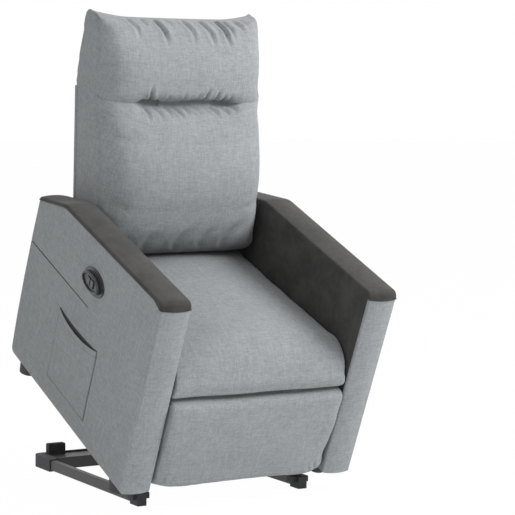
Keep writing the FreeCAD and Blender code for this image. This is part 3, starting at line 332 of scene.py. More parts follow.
def make_arm_cloth(groups, colours):
    """Dark brushed cloth of the arm covers, mottled where the nap lies differently."""
    material, w, shader, place = new_material("dark_brushed_cloth", 0.88)
    nap = w.noise(place, 55.0, 4.0, 0.6)
    slow = w.noise(place, 12.0, 2.0, 0.5)
    fine = w.noise(place, 1400.0, 2.0, 0.6)
    share = w.ramp(w.sum("ADD", w.sum("MULTIPLY", nap, 0.45), w.sum("MULTIPLY", slow, 0.55)), 0.36, 0.64)
    ground = w.mix(share, colour(colours.arm_dark), colour(colours.arm_light))
    ground = w.mix(w.sum("MULTIPLY", fine, 0.35), ground, colour(colours.arm_dark, 0.6))
    # Painted shade: the crease attribute darkens the dark cloth in seams and folds.
    seam = w.node("ShaderNodeAttribute", attribute_name="crease")
    w.put(w.mix(w.sum("MULTIPLY", seam.outputs["Fac"], 0.7, clamp=True), ground,
                colour(colours.arm_dark, 0.35)), shader.inputs["Base Color"])
    w.put(w.sum("MULTIPLY_ADD", share, 0.1, 0.8), shader.inputs["Roughness"])
    settle(shader, Sheen_Weight=0.18, Sheen_Roughness=0.4, Specular_IOR_Level=0.3)
    weave = weave_of(w, groups, place, Yarn=0.0007, Slub=0.006)
    bump(w, shader, w.sum("ADD", w.sum("MULTIPLY", fine, 0.5), w.sum("MULTIPLY", weave["Height"], 0.5)),
         0.4, 0.0005)
    return material


def make_lining(groups, colours):
    """Thin black non-woven lining."""
    material, w, shader, place = new_material("black_lining", 0.95)
    weave = weave_of(w, groups, place, Yarn=0.0018, Slub=0.004)
    w.put(w.mix(weave["Shade"], (0.012, 0.012, 0.013, 1.0), (0.035, 0.035, 0.037, 1.0)),
          shader.inputs["Base Color"])
    w.put(w.sum("MULTIPLY_ADD", weave["Shade"], -0.15, 0.95), shader.inputs["Roughness"])
    settle(shader, Specular_IOR_Level=0.2)
    bump(w, shader, weave["Height"], 0.5, 0.0004)
    return material


def make_webbing(groups, colours):
    """Woven straps with ribs along their length."""
    material, w, shader, place = new_material("woven_webbing", 0.8)
    weave = weave_of(w, groups, place, Yarn=0.0016, Slub=0.05)
    wave = w.node("ShaderNodeTexWave", wave_type="BANDS", bands_direction="Y")
    w.put(place, wave.inputs["Vector"])
    wave.inputs["Scale"].default_value = 90.0
    share = w.sum("MULTIPLY_ADD", wave.outputs["Fac"], 0.4, w.sum("MULTIPLY", weave["Shade"], 0.6))
    w.put(w.mix(share, (0.05, 0.045, 0.04, 1.0), (0.16, 0.145, 0.125, 1.0)), shader.inputs["Base Color"])
    w.put(w.sum("MULTIPLY_ADD", share, -0.1, 0.85), shader.inputs["Roughness"])
    bump(w, shader, share, 0.5, 0.0006)
    return material


def make_grained(name, groups, ground, pale, roughness, grain, coat=0.0, edges=0.5, depth=0.0002):
    """Moulded plastic, rubber or powder coat, with a fine grain and paler rubbed edges."""
    material, w, shader, place = new_material(name, roughness)
    found = use_group(w, groups["grain"], Place=place, Grain=grain)
    edge = use_group(w, groups["edge"], Place=place)["Edge"]
    base = w.mix(w.sum("MULTIPLY", found["Wear"], 0.3), colour(ground), colour(pale))
    base = w.mix(w.sum("MULTIPLY", edge, edges), base, colour(pale, 1.6))
    w.put(base, shader.inputs["Base Color"])
    w.put(w.sum("MULTIPLY_ADD", found["Wear"], 0.12,
                w.sum("MULTIPLY_ADD", found["Grain"], 0.1, roughness - 0.08), clamp=True),
          shader.inputs["Roughness"])
    settle(shader, Coat_Weight=coat, Coat_Roughness=0.12)
    bump(w, shader, found["Grain"], 0.3, depth)
    return material


def make_foam(groups, colours):
    """Open-cell foam and wadding inside the covers."""
    material, w, shader, place = new_material("padding_foam", 0.95)
    cells = w.noise(place, 700.0, 3.0, 0.7)
    w.put(w.mix(w.ramp(cells, 0.3, 0.7), (0.42, 0.38, 0.28, 1.0), (0.66, 0.61, 0.48, 1.0)),
          shader.inputs["Base Color"])
    w.put(w.sum("MULTIPLY_ADD", cells, 0.1, 0.88), shader.inputs["Roughness"])
    bump(w, shader, cells, 0.6, 0.0006)
    return material


def make_board(groups, colours):
    """Plywood boards and rails, with long grain and ply lines."""
    material, w, shader, place = new_material("plywood", 0.7)
    stretch = w.vector("MULTIPLY", place, (60.0, 4.0, 60.0))
    grain = w.noise(stretch, 1.0, 6.0, 0.65)
    fibre = w.noise(w.vector("MULTIPLY", place, (700.0, 30.0, 700.0)), 1.0, 2.0, 0.5)
    share = w.sum("ADD", w.sum("MULTIPLY", grain, 0.75), w.sum("MULTIPLY", fibre, 0.25))
    w.put(w.mix(w.ramp(share, 0.35, 0.65), (0.30, 0.185, 0.09, 1.0), (0.52, 0.37, 0.21, 1.0)),
          shader.inputs["Base Color"])
    w.put(w.sum("MULTIPLY_ADD", share, 0.2, 0.6), shader.inputs["Roughness"])
    bump(w, shader, share, 0.3, 0.0003)
    return material


def make_bare_steel(groups, colours):
    """Turned or drawn steel with fine lines round its axis."""
    material, w, shader, place = new_material("drawn_steel", 0.34)
    lines = w.noise(w.vector("MULTIPLY", place, (3000.0, 90.0, 90.0)), 1.0, 2.0, 0.6)
    found = use_group(w, groups["grain"], Place=place, Grain=500.0, Patch=30.0)
    w.put(w.mix(w.sum("MULTIPLY", found["Wear"], 0.5), colour(colours.bare_steel),
                colour(colours.bare_steel, 0.6)), shader.inputs["Base Color"])
    w.put(w.sum("MULTIPLY_ADD", lines, 0.25, w.sum("MULTIPLY_ADD", found["Wear"], 0.15, 0.22)),
          shader.inputs["Roughness"])
    settle(shader, Metallic=1.0)
    bump(w, shader, lines, 0.15, 0.0001)
    return material


def material_for(slot):
    """The chair's own material for a slot of the record."""
    return bpy.data.materials[SLOT_MATERIALS[slot]]


SLOT_MATERIALS = {
    "upholstery": "grey_linen_cloth", "arm_cloth": "dark_brushed_cloth", "padding": "padding_foam",
    "board": "plywood", "lining": "black_lining", "webbing": "woven_webbing",
    "black_plastic": "moulded_plastic", "black_rubber": "moulded_rubber",
    "gloss_control": "gloss_control", "bright_steel": "drawn_steel", "black_steel": "powder_coat",
}


# Modelling by hand

def tidy_selection():
    if bpy.context.object is not None and bpy.context.object.mode != "OBJECT":
        bpy.ops.object.mode_set(mode="OBJECT")
    bpy.ops.object.select_all(action="DESELECT")


def activate(obj):
    tidy_selection()
    obj.select_set(True)
    bpy.context.view_layer.objects.active = obj


def edit(obj, mode):
    activate(obj)
    bpy.ops.object.mode_set(mode="EDIT")
    bpy.context.tool_settings.mesh_select_mode = (mode == "VERT", mode == "EDGE", mode == "FACE")


def choose(obj, kind, test):
    """In edit mode, selects only the edges or faces that pass the test."""
    mesh = bmesh.from_edit_mesh(obj.data)
    for item in (*mesh.faces, *mesh.edges, *mesh.verts):
        item.select = False
    for item in getattr(mesh, kind):
        if test(item):
            item.select_set(True)
    mesh.select_flush_mode()
    bmesh.update_edit_mesh(obj.data)


def leave_edit():
    bpy.ops.object.mode_set(mode="OBJECT")


def face_out(obj):
    """Turns all faces of a piece outwards."""
    edit(obj, "FACE")
    bpy.ops.mesh.select_all(action="SELECT")
    bpy.ops.mesh.normals_make_consistent(inside=False)
    leave_edit()


def apply_modifiers(obj):
    activate(obj)
    for modifier in list(obj.modifiers):
        bpy.ops.object.modifier_apply(modifier=modifier.name)


def cloth_patch(name, columns, rows):
    """A flat grid of cloth, and how far across and up it each of its points lies, from 0 to 1."""
    tidy_selection()
    bpy.ops.mesh.primitive_grid_add(x_subdivisions=columns, y_subdivisions=rows, size=1.0)
    obj = bpy.context.object
    obj.name = name
    flat = positions(obj.data) + 0.5
    return obj, flat[:, 0], flat[:, 1]


def thicken(obj, thickness):
    """Gives a patch of cloth its thickness."""
    thick = obj.modifiers.new("cloth", "SOLIDIFY")
    thick.thickness = thickness
    thick.offset = 0.0
    apply_modifiers(obj)
    face_out(obj)


def corner_turn(corners, index):
    """Turn of a side outline at one of its corners, in radians."""
    here = Vector(corners[index])
    before = (here - Vector(corners[index - 1])).normalized()
    after = (Vector(corners[(index + 1) % len(corners)]) - here).normalized()
    return before.angle(after)


def side_prism(name, corners, x0, x1, radii, strips=1):
    """A bar across the chair: a flat outline of (y, z) corners, extruded from x0 to x1 in
    strips, with its corners rounded to radii, which maps a corner's number to its radius."""
    tidy_selection()
    bpy.ops.mesh.primitive_circle_add(vertices=len(corners), radius=0.1, fill_type="NGON")
    obj = bpy.context.object
    obj.name = name
    for vertex, (y, z) in zip(obj.data.vertices, corners):
        vertex.co = (x0, y, z)
    edit(obj, "FACE")
    bpy.ops.mesh.select_all(action="SELECT")
    for number in range(strips):
        bpy.ops.mesh.extrude_region_move(TRANSFORM_OT_translate={"value": ((x1 - x0) / strips, 0.0, 0.0)})
    bpy.ops.mesh.select_all(action="SELECT")
    bpy.ops.mesh.normals_make_consistent(inside=False)
    bpy.context.tool_settings.mesh_select_mode = (False, True, False)
    for index, radius in radii.items():
        spot = corners[index]

        def at_corner(edge):
            a, b = edge.verts
            near = all(abs(v.co.y - spot[0]) < 1e-5 and abs(v.co.z - spot[1]) < 1e-5 for v in (a, b))
            return near and abs(a.co.x - b.co.x) > 1e-4

        choose(obj, "edges", at_corner)
        bpy.ops.mesh.bevel(offset=radius * math.tan(corner_turn(corners, index) / 2.0),
                           segments=10, affect="EDGES", clamp_overlap=False)
    leave_edit()
    return obj


def round_rim(obj, x, radius, segments=5, wanted=lambda middle: True):
    """Rounds the outline's long edges that lie in the plane at x."""
    edit(obj, "EDGE")

    def on_rim(edge):
        a, b = edge.verts
        middle = (a.co + b.co) / 2.0
        return abs(a.co.x - x) < 1e-5 and abs(b.co.x - x) < 1e-5 and wanted(middle)

    choose(obj, "edges", on_rim)
    bpy.ops.mesh.bevel(offset=radius, segments=segments, affect="EDGES", clamp_overlap=False)
    leave_edit()


def inset_flats(obj, width):
    """Insets the big flat faces once by width, so that their shading stays flat."""
    edit(obj, "FACE")
    choose(obj, "faces", lambda face: face.calc_area() > 0.02)
    bpy.ops.mesh.inset(thickness=width, depth=0.0)
    leave_edit()


def smooth(obj, degrees=40.0):
    activate(obj)
    bpy.ops.object.shade_smooth_by_angle(angle=math.radians(degrees))


def tube_along(name, points, radius):
    """A round sewn cord through points of the seat frame, as a closed mesh."""
    tidy_selection()
    data = bpy.data.curves.new(name, "CURVE")
    data.dimensions = "3D"
    data.bevel_depth = radius
    data.bevel_resolution = 3
    data.use_fill_caps = True
    spline = data.splines.new("POLY")
    spline.points.add(len(points) - 1)
    for point, place in zip(spline.points, points):
        point.co = (*place, 1.0)
    obj = bpy.data.objects.new(name, data)
    bpy.context.scene.collection.objects.link(obj)
    activate(obj)
    bpy.ops.object.convert(target="MESH")
    obj = bpy.context.object
    edit(obj, "FACE")
    bpy.ops.mesh.select_all(action="SELECT")
    bpy.ops.mesh.remove_doubles(threshold=0.00005)
    bpy.ops.mesh.normals_make_consistent(inside=False)
    leave_edit()
    smooth(obj, 60.0)
    return obj


def finish_piece(obj, slot, body="chassis", stands_for=(), from_seat=True, material=None):
    """Tips a piece into the row's frame, gives it its finish and lets it ride."""
    if from_seat:
        obj.data.transform(TO_ROW)
    obj.data.materials.clear()
    obj.data.materials.append(material or material_for(slot))
    obj.data.update()
    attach(obj, body)
    if stands_for:
        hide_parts(*stands_for)
    return obj


# Padding

def positions(mesh, kind="co"):
    flat = np.empty(len(mesh.vertices) * 3)
    mesh.vertices.foreach_get(kind, flat)
    return flat.reshape(-1, 3)


def facings(mesh):
    return positions(mesh, "normal")


def set_positions(mesh, places):
    mesh.vertices.foreach_set("co", places.reshape(-1))
    mesh.update()


def step(value, low, high):
    """Smooth step of an array from 0 at low to 1 at high."""
    share = np.clip((value - low) / (high - low), 0.0, 1.0)
    return share * share * (3.0 - 2.0 * share)


def cover_from(node, name, sizes):
    """A cover's mesh from the solid it stands for, evenly meshed, in the seat frame."""
    mesh = frame["nodes"][node].data.copy()
    obj = bpy.data.objects.new(name, mesh)
    bpy.context.scene.collection.objects.link(obj)
    mesh.materials.clear()
    mesh.transform(TO_SEAT)
    edit(obj, "FACE")
    bpy.ops.mesh.select_all(action="SELECT")
    bpy.ops.mesh.remove_doubles(threshold=0.00002)
    leave_edit()
    remesh = obj.modifiers.new("even", "REMESH")
    remesh.mode = "VOXEL"
    remesh.voxel_size = sizes.voxel
    apply_modifiers(obj)
    return obj


def stuff(obj, sizes, loose, limit_x):
    """Stuffs a cover: it is drawn in a little, blown up as cloth, and held to its swell.
    loose gives 1 where the cover is free to swell and 0 where it lies on its board."""
    mesh = obj.data
    rest = positions(mesh)
    free = loose(rest, facings(mesh))[:, None]
    drawn = rest - facings(mesh) * free * sizes.draw
    set_positions(mesh, drawn)
    cloth = obj.modifiers.new("stuffing", "CLOTH")
    settings = cloth.settings
    settings.quality = 4
    settings.mass = 0.3
    settings.tension_stiffness = 20.0
    settings.compression_stiffness = 20.0
    settings.shear_stiffness = 8.0
    settings.bending_stiffness = 0.6
    settings.use_pressure = True
    settings.uniform_pressure_force = 4.0
    settings.effector_weights.gravity = 0.0
    cloth.collision_settings.use_collision = False
    for number in range(1, 21):
        bpy.context.scene.frame_set(number)
    graph = bpy.context.evaluated_depsgraph_get()
    swollen = positions(obj.evaluated_get(graph).data)
    obj.modifiers.remove(cloth)
    bpy.context.scene.frame_set(1)
    push = (swollen - drawn) * free
    length = np.linalg.norm(push, axis=1, keepdims=True)
    push *= np.minimum(1.0, sizes.swell / np.maximum(length, 1e-9))
    places = drawn + push
    places[:, 0] = np.clip(places[:, 0], -limit_x, limit_x)
    set_positions(mesh, places)
    even = obj.modifiers.new("finer", "SUBSURF")
    even.levels = even.render_levels = 1
    apply_modifiers(obj)


def paint_crease_shade(mesh, shade_marks):
    """Stores painted shade for each point: how deep in a seam, fold or join it lies, for the cloth to
    darken.
    """
    attribute = mesh.attributes.get("crease") or mesh.attributes.new("crease", "FLOAT", "POINT")
    attribute.data.foreach_set("value", np.clip(shade_marks, 0.0, 1.0).astype(np.float32))


def fold(flat, start, end, width, depth):
    """Dent of one fold on points of a flat map, positive where the cloth sinks and a little
    negative beside it. It fades out from start to end."""
    a = np.array(start)
    way = np.array(end) - a
    span = np.linalg.norm(way)
    way = way / span
    off = flat - a
    along = off @ way / span
    bow = 0.12 * span * np.sin(np.clip(along, 0.0, 1.0) * math.pi)
    side = off @ np.array((-way[1], way[0])) - bow
    fade = step(along, -0.08, 0.12) * (1.0 - step(along, 0.35, 1.0))
    dent = np.exp(-(side / width) ** 2)
    ridge = np.exp(-((np.abs(side) - 2.0 * width) / (1.1 * width)) ** 2)
    return depth * fade * (dent - 0.42 * ridge)


def shape_back(obj):
    """The seam under the headrest with its gathers, the folds at the top edge, the sewn side edges and the
    soft folds where the back meets the seat. Painted shade darkens the seam, the folds, the side welts and
    the foot of the back where it meets the seat."""
    mesh = obj.data
    places = positions(mesh)
    normals = facings(mesh)
    x, y, z = places.T
    rise = z + FOLD_LEAN * y
    front = step(-normals[:, 1], 0.05, 0.45)
    forward = step(-normals[:, 1], -0.35, 0.1) * step(rise, 0.6, 0.7)
    flat = np.stack([x, rise], axis=1)
    dent = np.zeros(len(places))
    shade_marks = np.zeros(len(places))

    def gather(mask, start, way, width, gain, spots):
        """Folds that begin at the height start and run way times their reach upwards, each
        with its place, lean, reach and depth."""
        nonlocal dent, shade_marks
        for place, lean, reach, deep in spots:
            change = fold(flat, (place, start), (place + lean, start + way * reach), width, deep)
            dent += mask * change
            # Painted shade in each fold, as strong as its dent times gain.
            shade_marks += mask * np.maximum(change, 0.0) * gain

    seam_z = SEAM_Z + 0.002 * np.sin(x * 30.0)
    pinch = 1.0 - step(np.abs(x), 0.128, 0.176)
    lane = np.exp(-((z - seam_z) / 0.0042) ** 2)
    valley = np.exp(-((z - seam_z) / 0.017) ** 2)
    dent += front * (lane * (0.002 + 0.0055 * pinch) + valley * 0.006 * pinch)
    # Painted shade along the seam under the headrest.
    shade_marks += front * lane * (0.3 + 0.45 * pinch)

    wander = random.Random(7)
    gather(forward, 1.072, -1.25, 0.0062, 11.0, [
        (place, 0.016 + wander.uniform(-0.006, 0.008), reach, deep) for place, reach, deep in (
            (-0.165, 0.062, 0.0045), (-0.084, 0.082, 0.0085), (-0.048, 0.03, 0.003),
            (0.005, 0.075, 0.0055), (0.058, 0.085, 0.0065), (0.109, 0.088, 0.009),
            (0.134, 0.066, 0.0055), (0.168, 0.045, 0.0045), (-0.125, 0.03, 0.003),
            (0.195, 0.03, 0.0028))])
    gather(front, 0.853 + FOLD_LEAN * SEAM_Y, 1.0, 0.0048, 13.0, (
        (-0.112, -0.008, 0.052, 0.0085), (-0.062, -0.004, 0.03, 0.003), (-0.012, -0.006, 0.034, 0.0035),
        (0.022, 0.012, 0.03, 0.003), (0.050, 0.016, 0.05, 0.006), (0.086, 0.012, 0.046, 0.006),
        (0.118, -0.01, 0.03, 0.004), (0.142, -0.012, 0.026, 0.003)))
    gather(front, 0.842 + FOLD_LEAN * SEAM_Y, -1.0, 0.0055, 13.0, (
        (-0.135, 0.004, 0.06, 0.0045), (-0.105, 0.018, 0.06, 0.004), (-0.070, 0.012, 0.045, 0.003),
        (-0.045, 0.024, 0.052, 0.005), (-0.012, 0.010, 0.03, 0.0035), (0.020, 0.020, 0.04, 0.003),
        (0.070, 0.026, 0.045, 0.005), (0.108, 0.022, 0.038, 0.0045), (0.140, 0.012, 0.03, 0.003)))
    low_map = np.stack([x, z], axis=1)
    for one, two, deep in (((0.205, 0.56), (0.12, 0.472), 0.006), ((0.10, 0.545), (0.05, 0.47), 0.004),
                           ((0.03, 0.54), (-0.03, 0.468), 0.0055), ((-0.07, 0.528), (-0.125, 0.47), 0.005),
                           ((-0.16, 0.52), (-0.20, 0.468), 0.004)):
        dent += front * fold(low_map, two, one, 0.016, deep)

    # Painted shade over the foot of the back, where it runs down into the seat.
    shade_marks += step(-z, -0.55, -0.435) ** 1.6 * step(-y, 0.1, 0.16) * 0.95
    rim = np.abs(x)
    edge = np.exp(-((rim - 0.2505) / 0.003) ** 2)
    welt = np.exp(-((rim - 0.2555) / 0.0028) ** 2)
    fore = step(-normals[:, 1] + 0.6 * normals[:, 2], 0.1, 0.5)
    dent += fore * (edge * 0.0012 - welt * 0.0008)
    # Painted shade along the sewn side edges.
    shade_marks += fore * edge * 0.16

    plump = front * (1.0 - pinch) * (1.0 - step(rim, 0.235, 0.262))
    dent -= plump * np.exp(-((z - seam_z) / 0.023) ** 2) * 0.013
    places = places - normals * dent[:, None]
    places[:, 2] += 0.006 * step(z, 0.98, 1.03) * step(rim, 0.15, 0.235)
    set_positions(mesh, places)
    paint_crease_shade(mesh, shade_marks)


def shape_seat(obj):
    """Soft hollow where one sits, and the drawn side edges."""
    mesh = obj.data
    places = positions(mesh)
    normals = facings(mesh)
    x, y, z = places.T
    top = step(normals[:, 2], 0.3, 0.8)
    hollow = np.exp(-(x / 0.15) ** 2 - ((y + 0.36) / 0.16) ** 2)
    ripple = np.sin(x * 21.0 + 3.0 * y * 9.0) * np.sin(y * 17.0 - x * 8.0)
    dent = top * (hollow * 0.004 + ripple * 0.0007)
    nose = step(-normals[:, 1], 0.3, 0.8)
    dent += nose * 0.0012 * np.sin(x * 26.0) * np.sin((z - 0.3) * 38.0)
    # Mask of the seam below the front roll, for painted shade.
    low = np.exp(-((z - 0.322) / 0.004) ** 2) * nose
    places = places - normals * dent[:, None]
    places[:, 2] -= 0.0032 * nose * (1.0 - step(z, 0.322, 0.345))
    side = step(np.abs(x), 0.2, 0.262)
    places[:, 2] += top * step(y, -0.32, -0.17) * (0.009 - 0.006 * (x / 0.262) ** 2)
    places[:, 1] -= nose * side * 0.006
    places[:, 0] += np.sign(x) * side * 0.0018
    set_positions(mesh, places)
    # Painted shade along the front seam and over the rear of the top, where the seat runs in under the
    # back.
    paint_crease_shade(mesh, low * 0.25 + top * step(y, -0.27, -0.15) * 0.45)


def shape_footrest(obj):
    """The front panel with its lightly gathered lower corners."""
    mesh = obj.data
    places = positions(mesh)
    normals = facings(mesh)
    x, y, z = places.T
    front = step(-normals[:, 1], 0.2, 0.7)
    dent = front * 0.0011 * np.sin(x * 17.0 + 1.0) * np.sin(z * 31.0)
    flat = np.stack([x, z], axis=1)
    for side in (-1.0, 1.0):
        for place, reach, deep in ((0.236, 0.05, 0.0028), (0.216, 0.035, 0.002)):
            dent += front * fold(flat, (side * place, 0.06), (side * (place - 0.012), 0.06 + reach),
                                 0.005, deep)
    places = places - normals * dent[:, None]
    side = step(np.abs(x), 0.2, 0.262)
    places[:, 1] -= front * side * 0.006 * step(z, 0.08, 0.2)
    places[:, 0] += np.sign(x) * side * 0.0018 * step(z, 0.08, 0.2)
    set_positions(mesh, places)
    # Painted shade along the seam at the top of the front.
    paint_crease_shade(mesh, front * np.exp(-((z - 0.309) / 0.0035) ** 2) * 0.25)


# The pieces

class CHAIR_OT_finishes(bpy.types.Operator):
    """Make the materials and dress the frame's own parts in them"""
    bl_idname = "chair.finishes"
    bl_label = "Finishes"

    def execute(self, context):
        colours = context.scene.chair_colours
        groups = {"weave": make_weave_group(), "grain": make_grain_group(), "edge": make_edge_group()}
        for maker in (make_cloth, make_arm_cloth, make_lining, make_webbing, make_foam, make_board,
                      make_bare_steel):
            maker(groups, colours)
        make_grained("moulded_plastic", groups, colours.plastic, (0.06, 0.06, 0.062), 0.5, 1500.0)
        make_grained("moulded_rubber", groups, (0.02, 0.02, 0.02), (0.045, 0.045, 0.045), 0.78, 700.0,
                     depth=0.0004)
        make_grained("gloss_control", groups, colours.gloss, (0.05, 0.05, 0.052), 0.22, 2500.0,
                     coat=0.5, edges=0.25, depth=0.00004)
        make_grained("powder_coat", groups, colours.steel, (0.085, 0.085, 0.088), 0.46, 2200.0,
                     depth=0.00015)
        for entry in frame["record"]["materials"]:
            for node in entry.get("nodes", []):
                obj = frame["nodes"][node]
                obj.data.materials.clear()
                obj.data.materials.append(material_for(entry["slot"]))
        return {"FINISHED"}


class CHAIR_OT_cushions(bpy.types.Operator):
    """Stuff the seat, back and footrest cushions"""
    bl_idname = "chair.cushions"
    bl_label = "Cushions"

    def execute(self, context):
        sizes = context.scene.chair_sizes

        def seat_loose(places, normals):
            return step(places[:, 2], 0.325, 0.36) * step(-places[:, 1], 0.108, 0.15)

        def back_loose(places, normals):
            return step(-normals[:, 1] + 0.5 * normals[:, 2], -0.3, 0.2) * step(places[:, 2], 0.44, 0.5)

        def foot_loose(places, normals):
            return step(-places[:, 1], 0.705, 0.73)

        seat = cover_from("seat_cushion", "seat_cushion_cover", sizes)
        stuff(seat, sizes, seat_loose, ARM_INNER - 0.0022)
        shape_seat(seat)
        back = cover_from("back_cushion", "back_cushion_cover", sizes)
        stuff(back, sizes, back_loose, ARM_INNER - 0.0055)
        shape_back(back)
        foot = cover_from("footrest_pad", "footrest_cover", sizes)
        stuff(foot, sizes, foot_loose, ARM_INNER - 0.0022)
        shape_footrest(foot)
        for obj, body, node, fill in ((seat, "chassis", "seat_cushion", 0.85),
                                      (back, "back", "back_cushion", 0.75),
                                      (foot, "footrest", "footrest_pad", 0.9)):
            smooth(obj, 60.0)
            finish_piece(obj, "upholstery", body, (node,))
        return {"FINISHED"}


class CHAIR_OT_arms(bpy.types.Operator):
    """Cover both arms in cloth, with dark covers on top and inside"""
    bl_idname = "chair.arms"
    bl_label = "Arms"

    def execute(self, context):
        sizes = context.scene.chair_sizes
        fold_down = sizes.pad_fold
        rear, bend, front = 0.0, ARM_BEND, ARM_FRONT
        top = {rear: 0.534, bend: 0.588, front: 0.6035}
        for name, side in (("left", 1.0), ("right", -1.0)):
            outer = side * ARM_OUTER
            inner = side * ARM_INNER
            seam = {at: height - fold_down for at, height in top.items()}
            lip = seam[front] - 0.0115
            slope = front + 0.040
            slope_z = np.interp(slope, [front, bend], [seam[front], seam[bend]])
            under = 0.0007
            body = side_prism("arm_cloth_" + name, [
                (rear + 0.001, ARM_UNDERSIDE), (rear + 0.0062, 0.16), (rear + 0.0075, 0.29),
                (rear + 0.0052, 0.42), (rear, seam[rear] - under), (bend, seam[bend] - under),
                (slope, slope_z - under), (front, lip - under), (front, ARM_UNDERSIDE)],
                inner, outer, {0: 0.02, 5: 0.09}, 14)
            round_rim(body, outer, sizes.arm_round)
            round_rim(body, inner, 0.004, 3)
            inset_flats(body, 0.004)
            self.crown(body, front)
            if name == "right":
                self.cut_slit(body)
            smooth(body, 50.0)
            pad = side_prism("arm_pad_" + name, [
                (rear, seam[rear]), (rear, top[rear]), (bend, top[bend]), (front - 0.0008, top[front]),
                (front - 0.0008, lip), (slope, slope_z), (bend, seam[bend])],
                inner - side * PAD_PROUD, outer + side * PAD_PROUD,
                {1: 0.0060, 3: 0.0175, 2: 0.09, 6: 0.09}, 14)

            def upper(middle):
                line = np.interp(middle.y, [front, bend, rear],
                                 [top[front], top[bend], top[rear]]) - 0.6 * fold_down
                nose = middle.y < front + 0.018 and middle.z > lip + 0.001
                return middle.z > line or nose

            for x in (inner - side * PAD_PROUD, outer + side * PAD_PROUD):
                round_rim(pad, x, 0.0048, 4, upper)
            self.crown(pad, front, sizes.pad_crown)
            smooth(pad, 50.0)
            lining = side_prism("arm_inner_" + name, [
                (-0.006, 0.30), (-0.006, seam[rear]), (bend, seam[bend]), (slope, slope_z),
                (front + 0.0055, lip), (front + 0.0055, 0.30)],
                inner - side * 0.0009, inner + side * 0.0004, {})
            line_y = np.concatenate([np.linspace(slope, bend - 0.02, 16),
                                     np.linspace(bend - 0.01, rear - 0.001, 14)])
            line_z = np.interp(line_y, [slope, bend - 0.008, bend + 0.008, rear],
                               [slope_z, seam[bend] - 0.0006, seam[bend] - 0.0026, seam[rear]])
            run = [(py, pz - 0.0004) for py, pz in zip(line_y, line_z)]
            cord = [(outer, py, pz) for py, pz in reversed(run)]
            cord.append((outer, front + 0.0045, lip))
            for number in range(13):
                share = 1.0 - number / 6.0
                bow = ARM_BOW * (1.0 - (0.97 * share) ** 2)
                x = (outer + inner) / 2.0 + (outer - inner) / 2.0 * share * 0.985
                cord.append((x, front - 0.001 - bow, lip))
            cord.append((inner, front + 0.0045, lip))
            cord += [(inner, py, pz) for py, pz in run]
            piping = tube_along("arm_piping_" + name, cord, sizes.piping)
            for obj in (pad, lining, piping):
                finish_piece(obj, "arm_cloth")
            finish_piece(body, "upholstery", stands_for=["arm_side_cover_" + name, "arm_padding_" + name])
            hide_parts("arm_top_cover_" + name)
        return {"FINISHED"}

    def crown(self, obj, front, rise=0.0):
        """Rounds an arm's front across its width, and lifts the middle of its top by rise."""
        places = positions(obj.data)
        across = (np.abs(places[:, 0]) - (ARM_INNER + ARM_OUTER) / 2.0) / ((ARM_OUTER - ARM_INNER) / 2.0)
        bow = np.clip(1.0 - across ** 2, 0.0, 1.0)
        ahead = 1.0 - step(places[:, 1], front, front + 0.03)
        places[:, 1] -= ahead * bow * ARM_BOW
        above = step(facings(obj.data)[:, 2], 0.1, 0.6)
        places[:, 2] += above * bow * rise
        set_positions(obj.data, places)

    def cut_slit(self, body):
        """The straight slit across the outer side of the right arm, and the well behind its
        control."""
        cutter = side_prism("slit_cutter", [
            (0.012, 0.3966), (0.012, 0.4014), (-0.378, 0.3998), (-0.388, SLIT_TIP), (-0.378, 0.3960)],
            -ARM_OUTER - 0.002, -ARM_OUTER + 0.009, {})
        well = side_prism("control_well_cutter", [
            (CONTROL_Y + a * 0.0405, CONTROL_Z + b * 0.0165)
            for a, b in ((-1.0, -1.0), (1.0, -1.0), (1.0, 1.0), (-1.0, 1.0))],
            -ARM_OUTER - 0.002, -ARM_OUTER + 0.0265, {})
        for tool in (cutter, well):
            cut = body.modifiers.new("opening", "BOOLEAN")
            cut.object = tool
            cut.operation = "DIFFERENCE"
            cut.solver = "EXACT"
            apply_modifiers(body)
            bpy.data.objects.remove(tool)
        strip = side_prism("arm_slit_lining", [
            (0.0015, 0.3961), (0.0015, 0.4019), (-0.378, 0.4003), (-0.3885, SLIT_TIP), (-0.378, 0.3955)],
            -ARM_OUTER + 0.0030, -ARM_OUTER + 0.0095, {})
        finish_piece(strip, "lining")


class CHAIR_OT_back_panel(bpy.types.Operator):
    """Close the rear of the back in cloth"""
    bl_idname = "chair.back_panel"
    bl_label = "Rear panels"

    def execute(self, context):
        lean = math.radians(21.5)
        foot = Vector((-0.060, 0.400))
        way = Vector((math.sin(lean), math.cos(lean)))
        out = Vector((math.cos(lean), -math.sin(lean)))

        def spot(up, behind):
            place = foot + way * up + out * behind
            return (place.x, place.y)

        panel = side_prism("back_rear_panel", [
            spot(0.0, -0.008), spot(0.455, -0.008), spot(0.4545, 0.0035), spot(0.002, 0.0035)],
            -0.2555, 0.2555, {})
        edit(panel, "EDGE")
        choose(panel, "edges", lambda edge: len(edge.link_faces) == 2 and edge.calc_face_angle(0) > 0.5)
        bpy.ops.mesh.bevel(offset=0.0035, segments=3, affect="EDGES", clamp_overlap=True)
        leave_edit()
        inset_flats(panel, 0.004)
        smooth(panel, 50.0)
        finish_piece(panel, "upholstery", "back", ("back_rear_cover",))
        return {"FINISHED"}


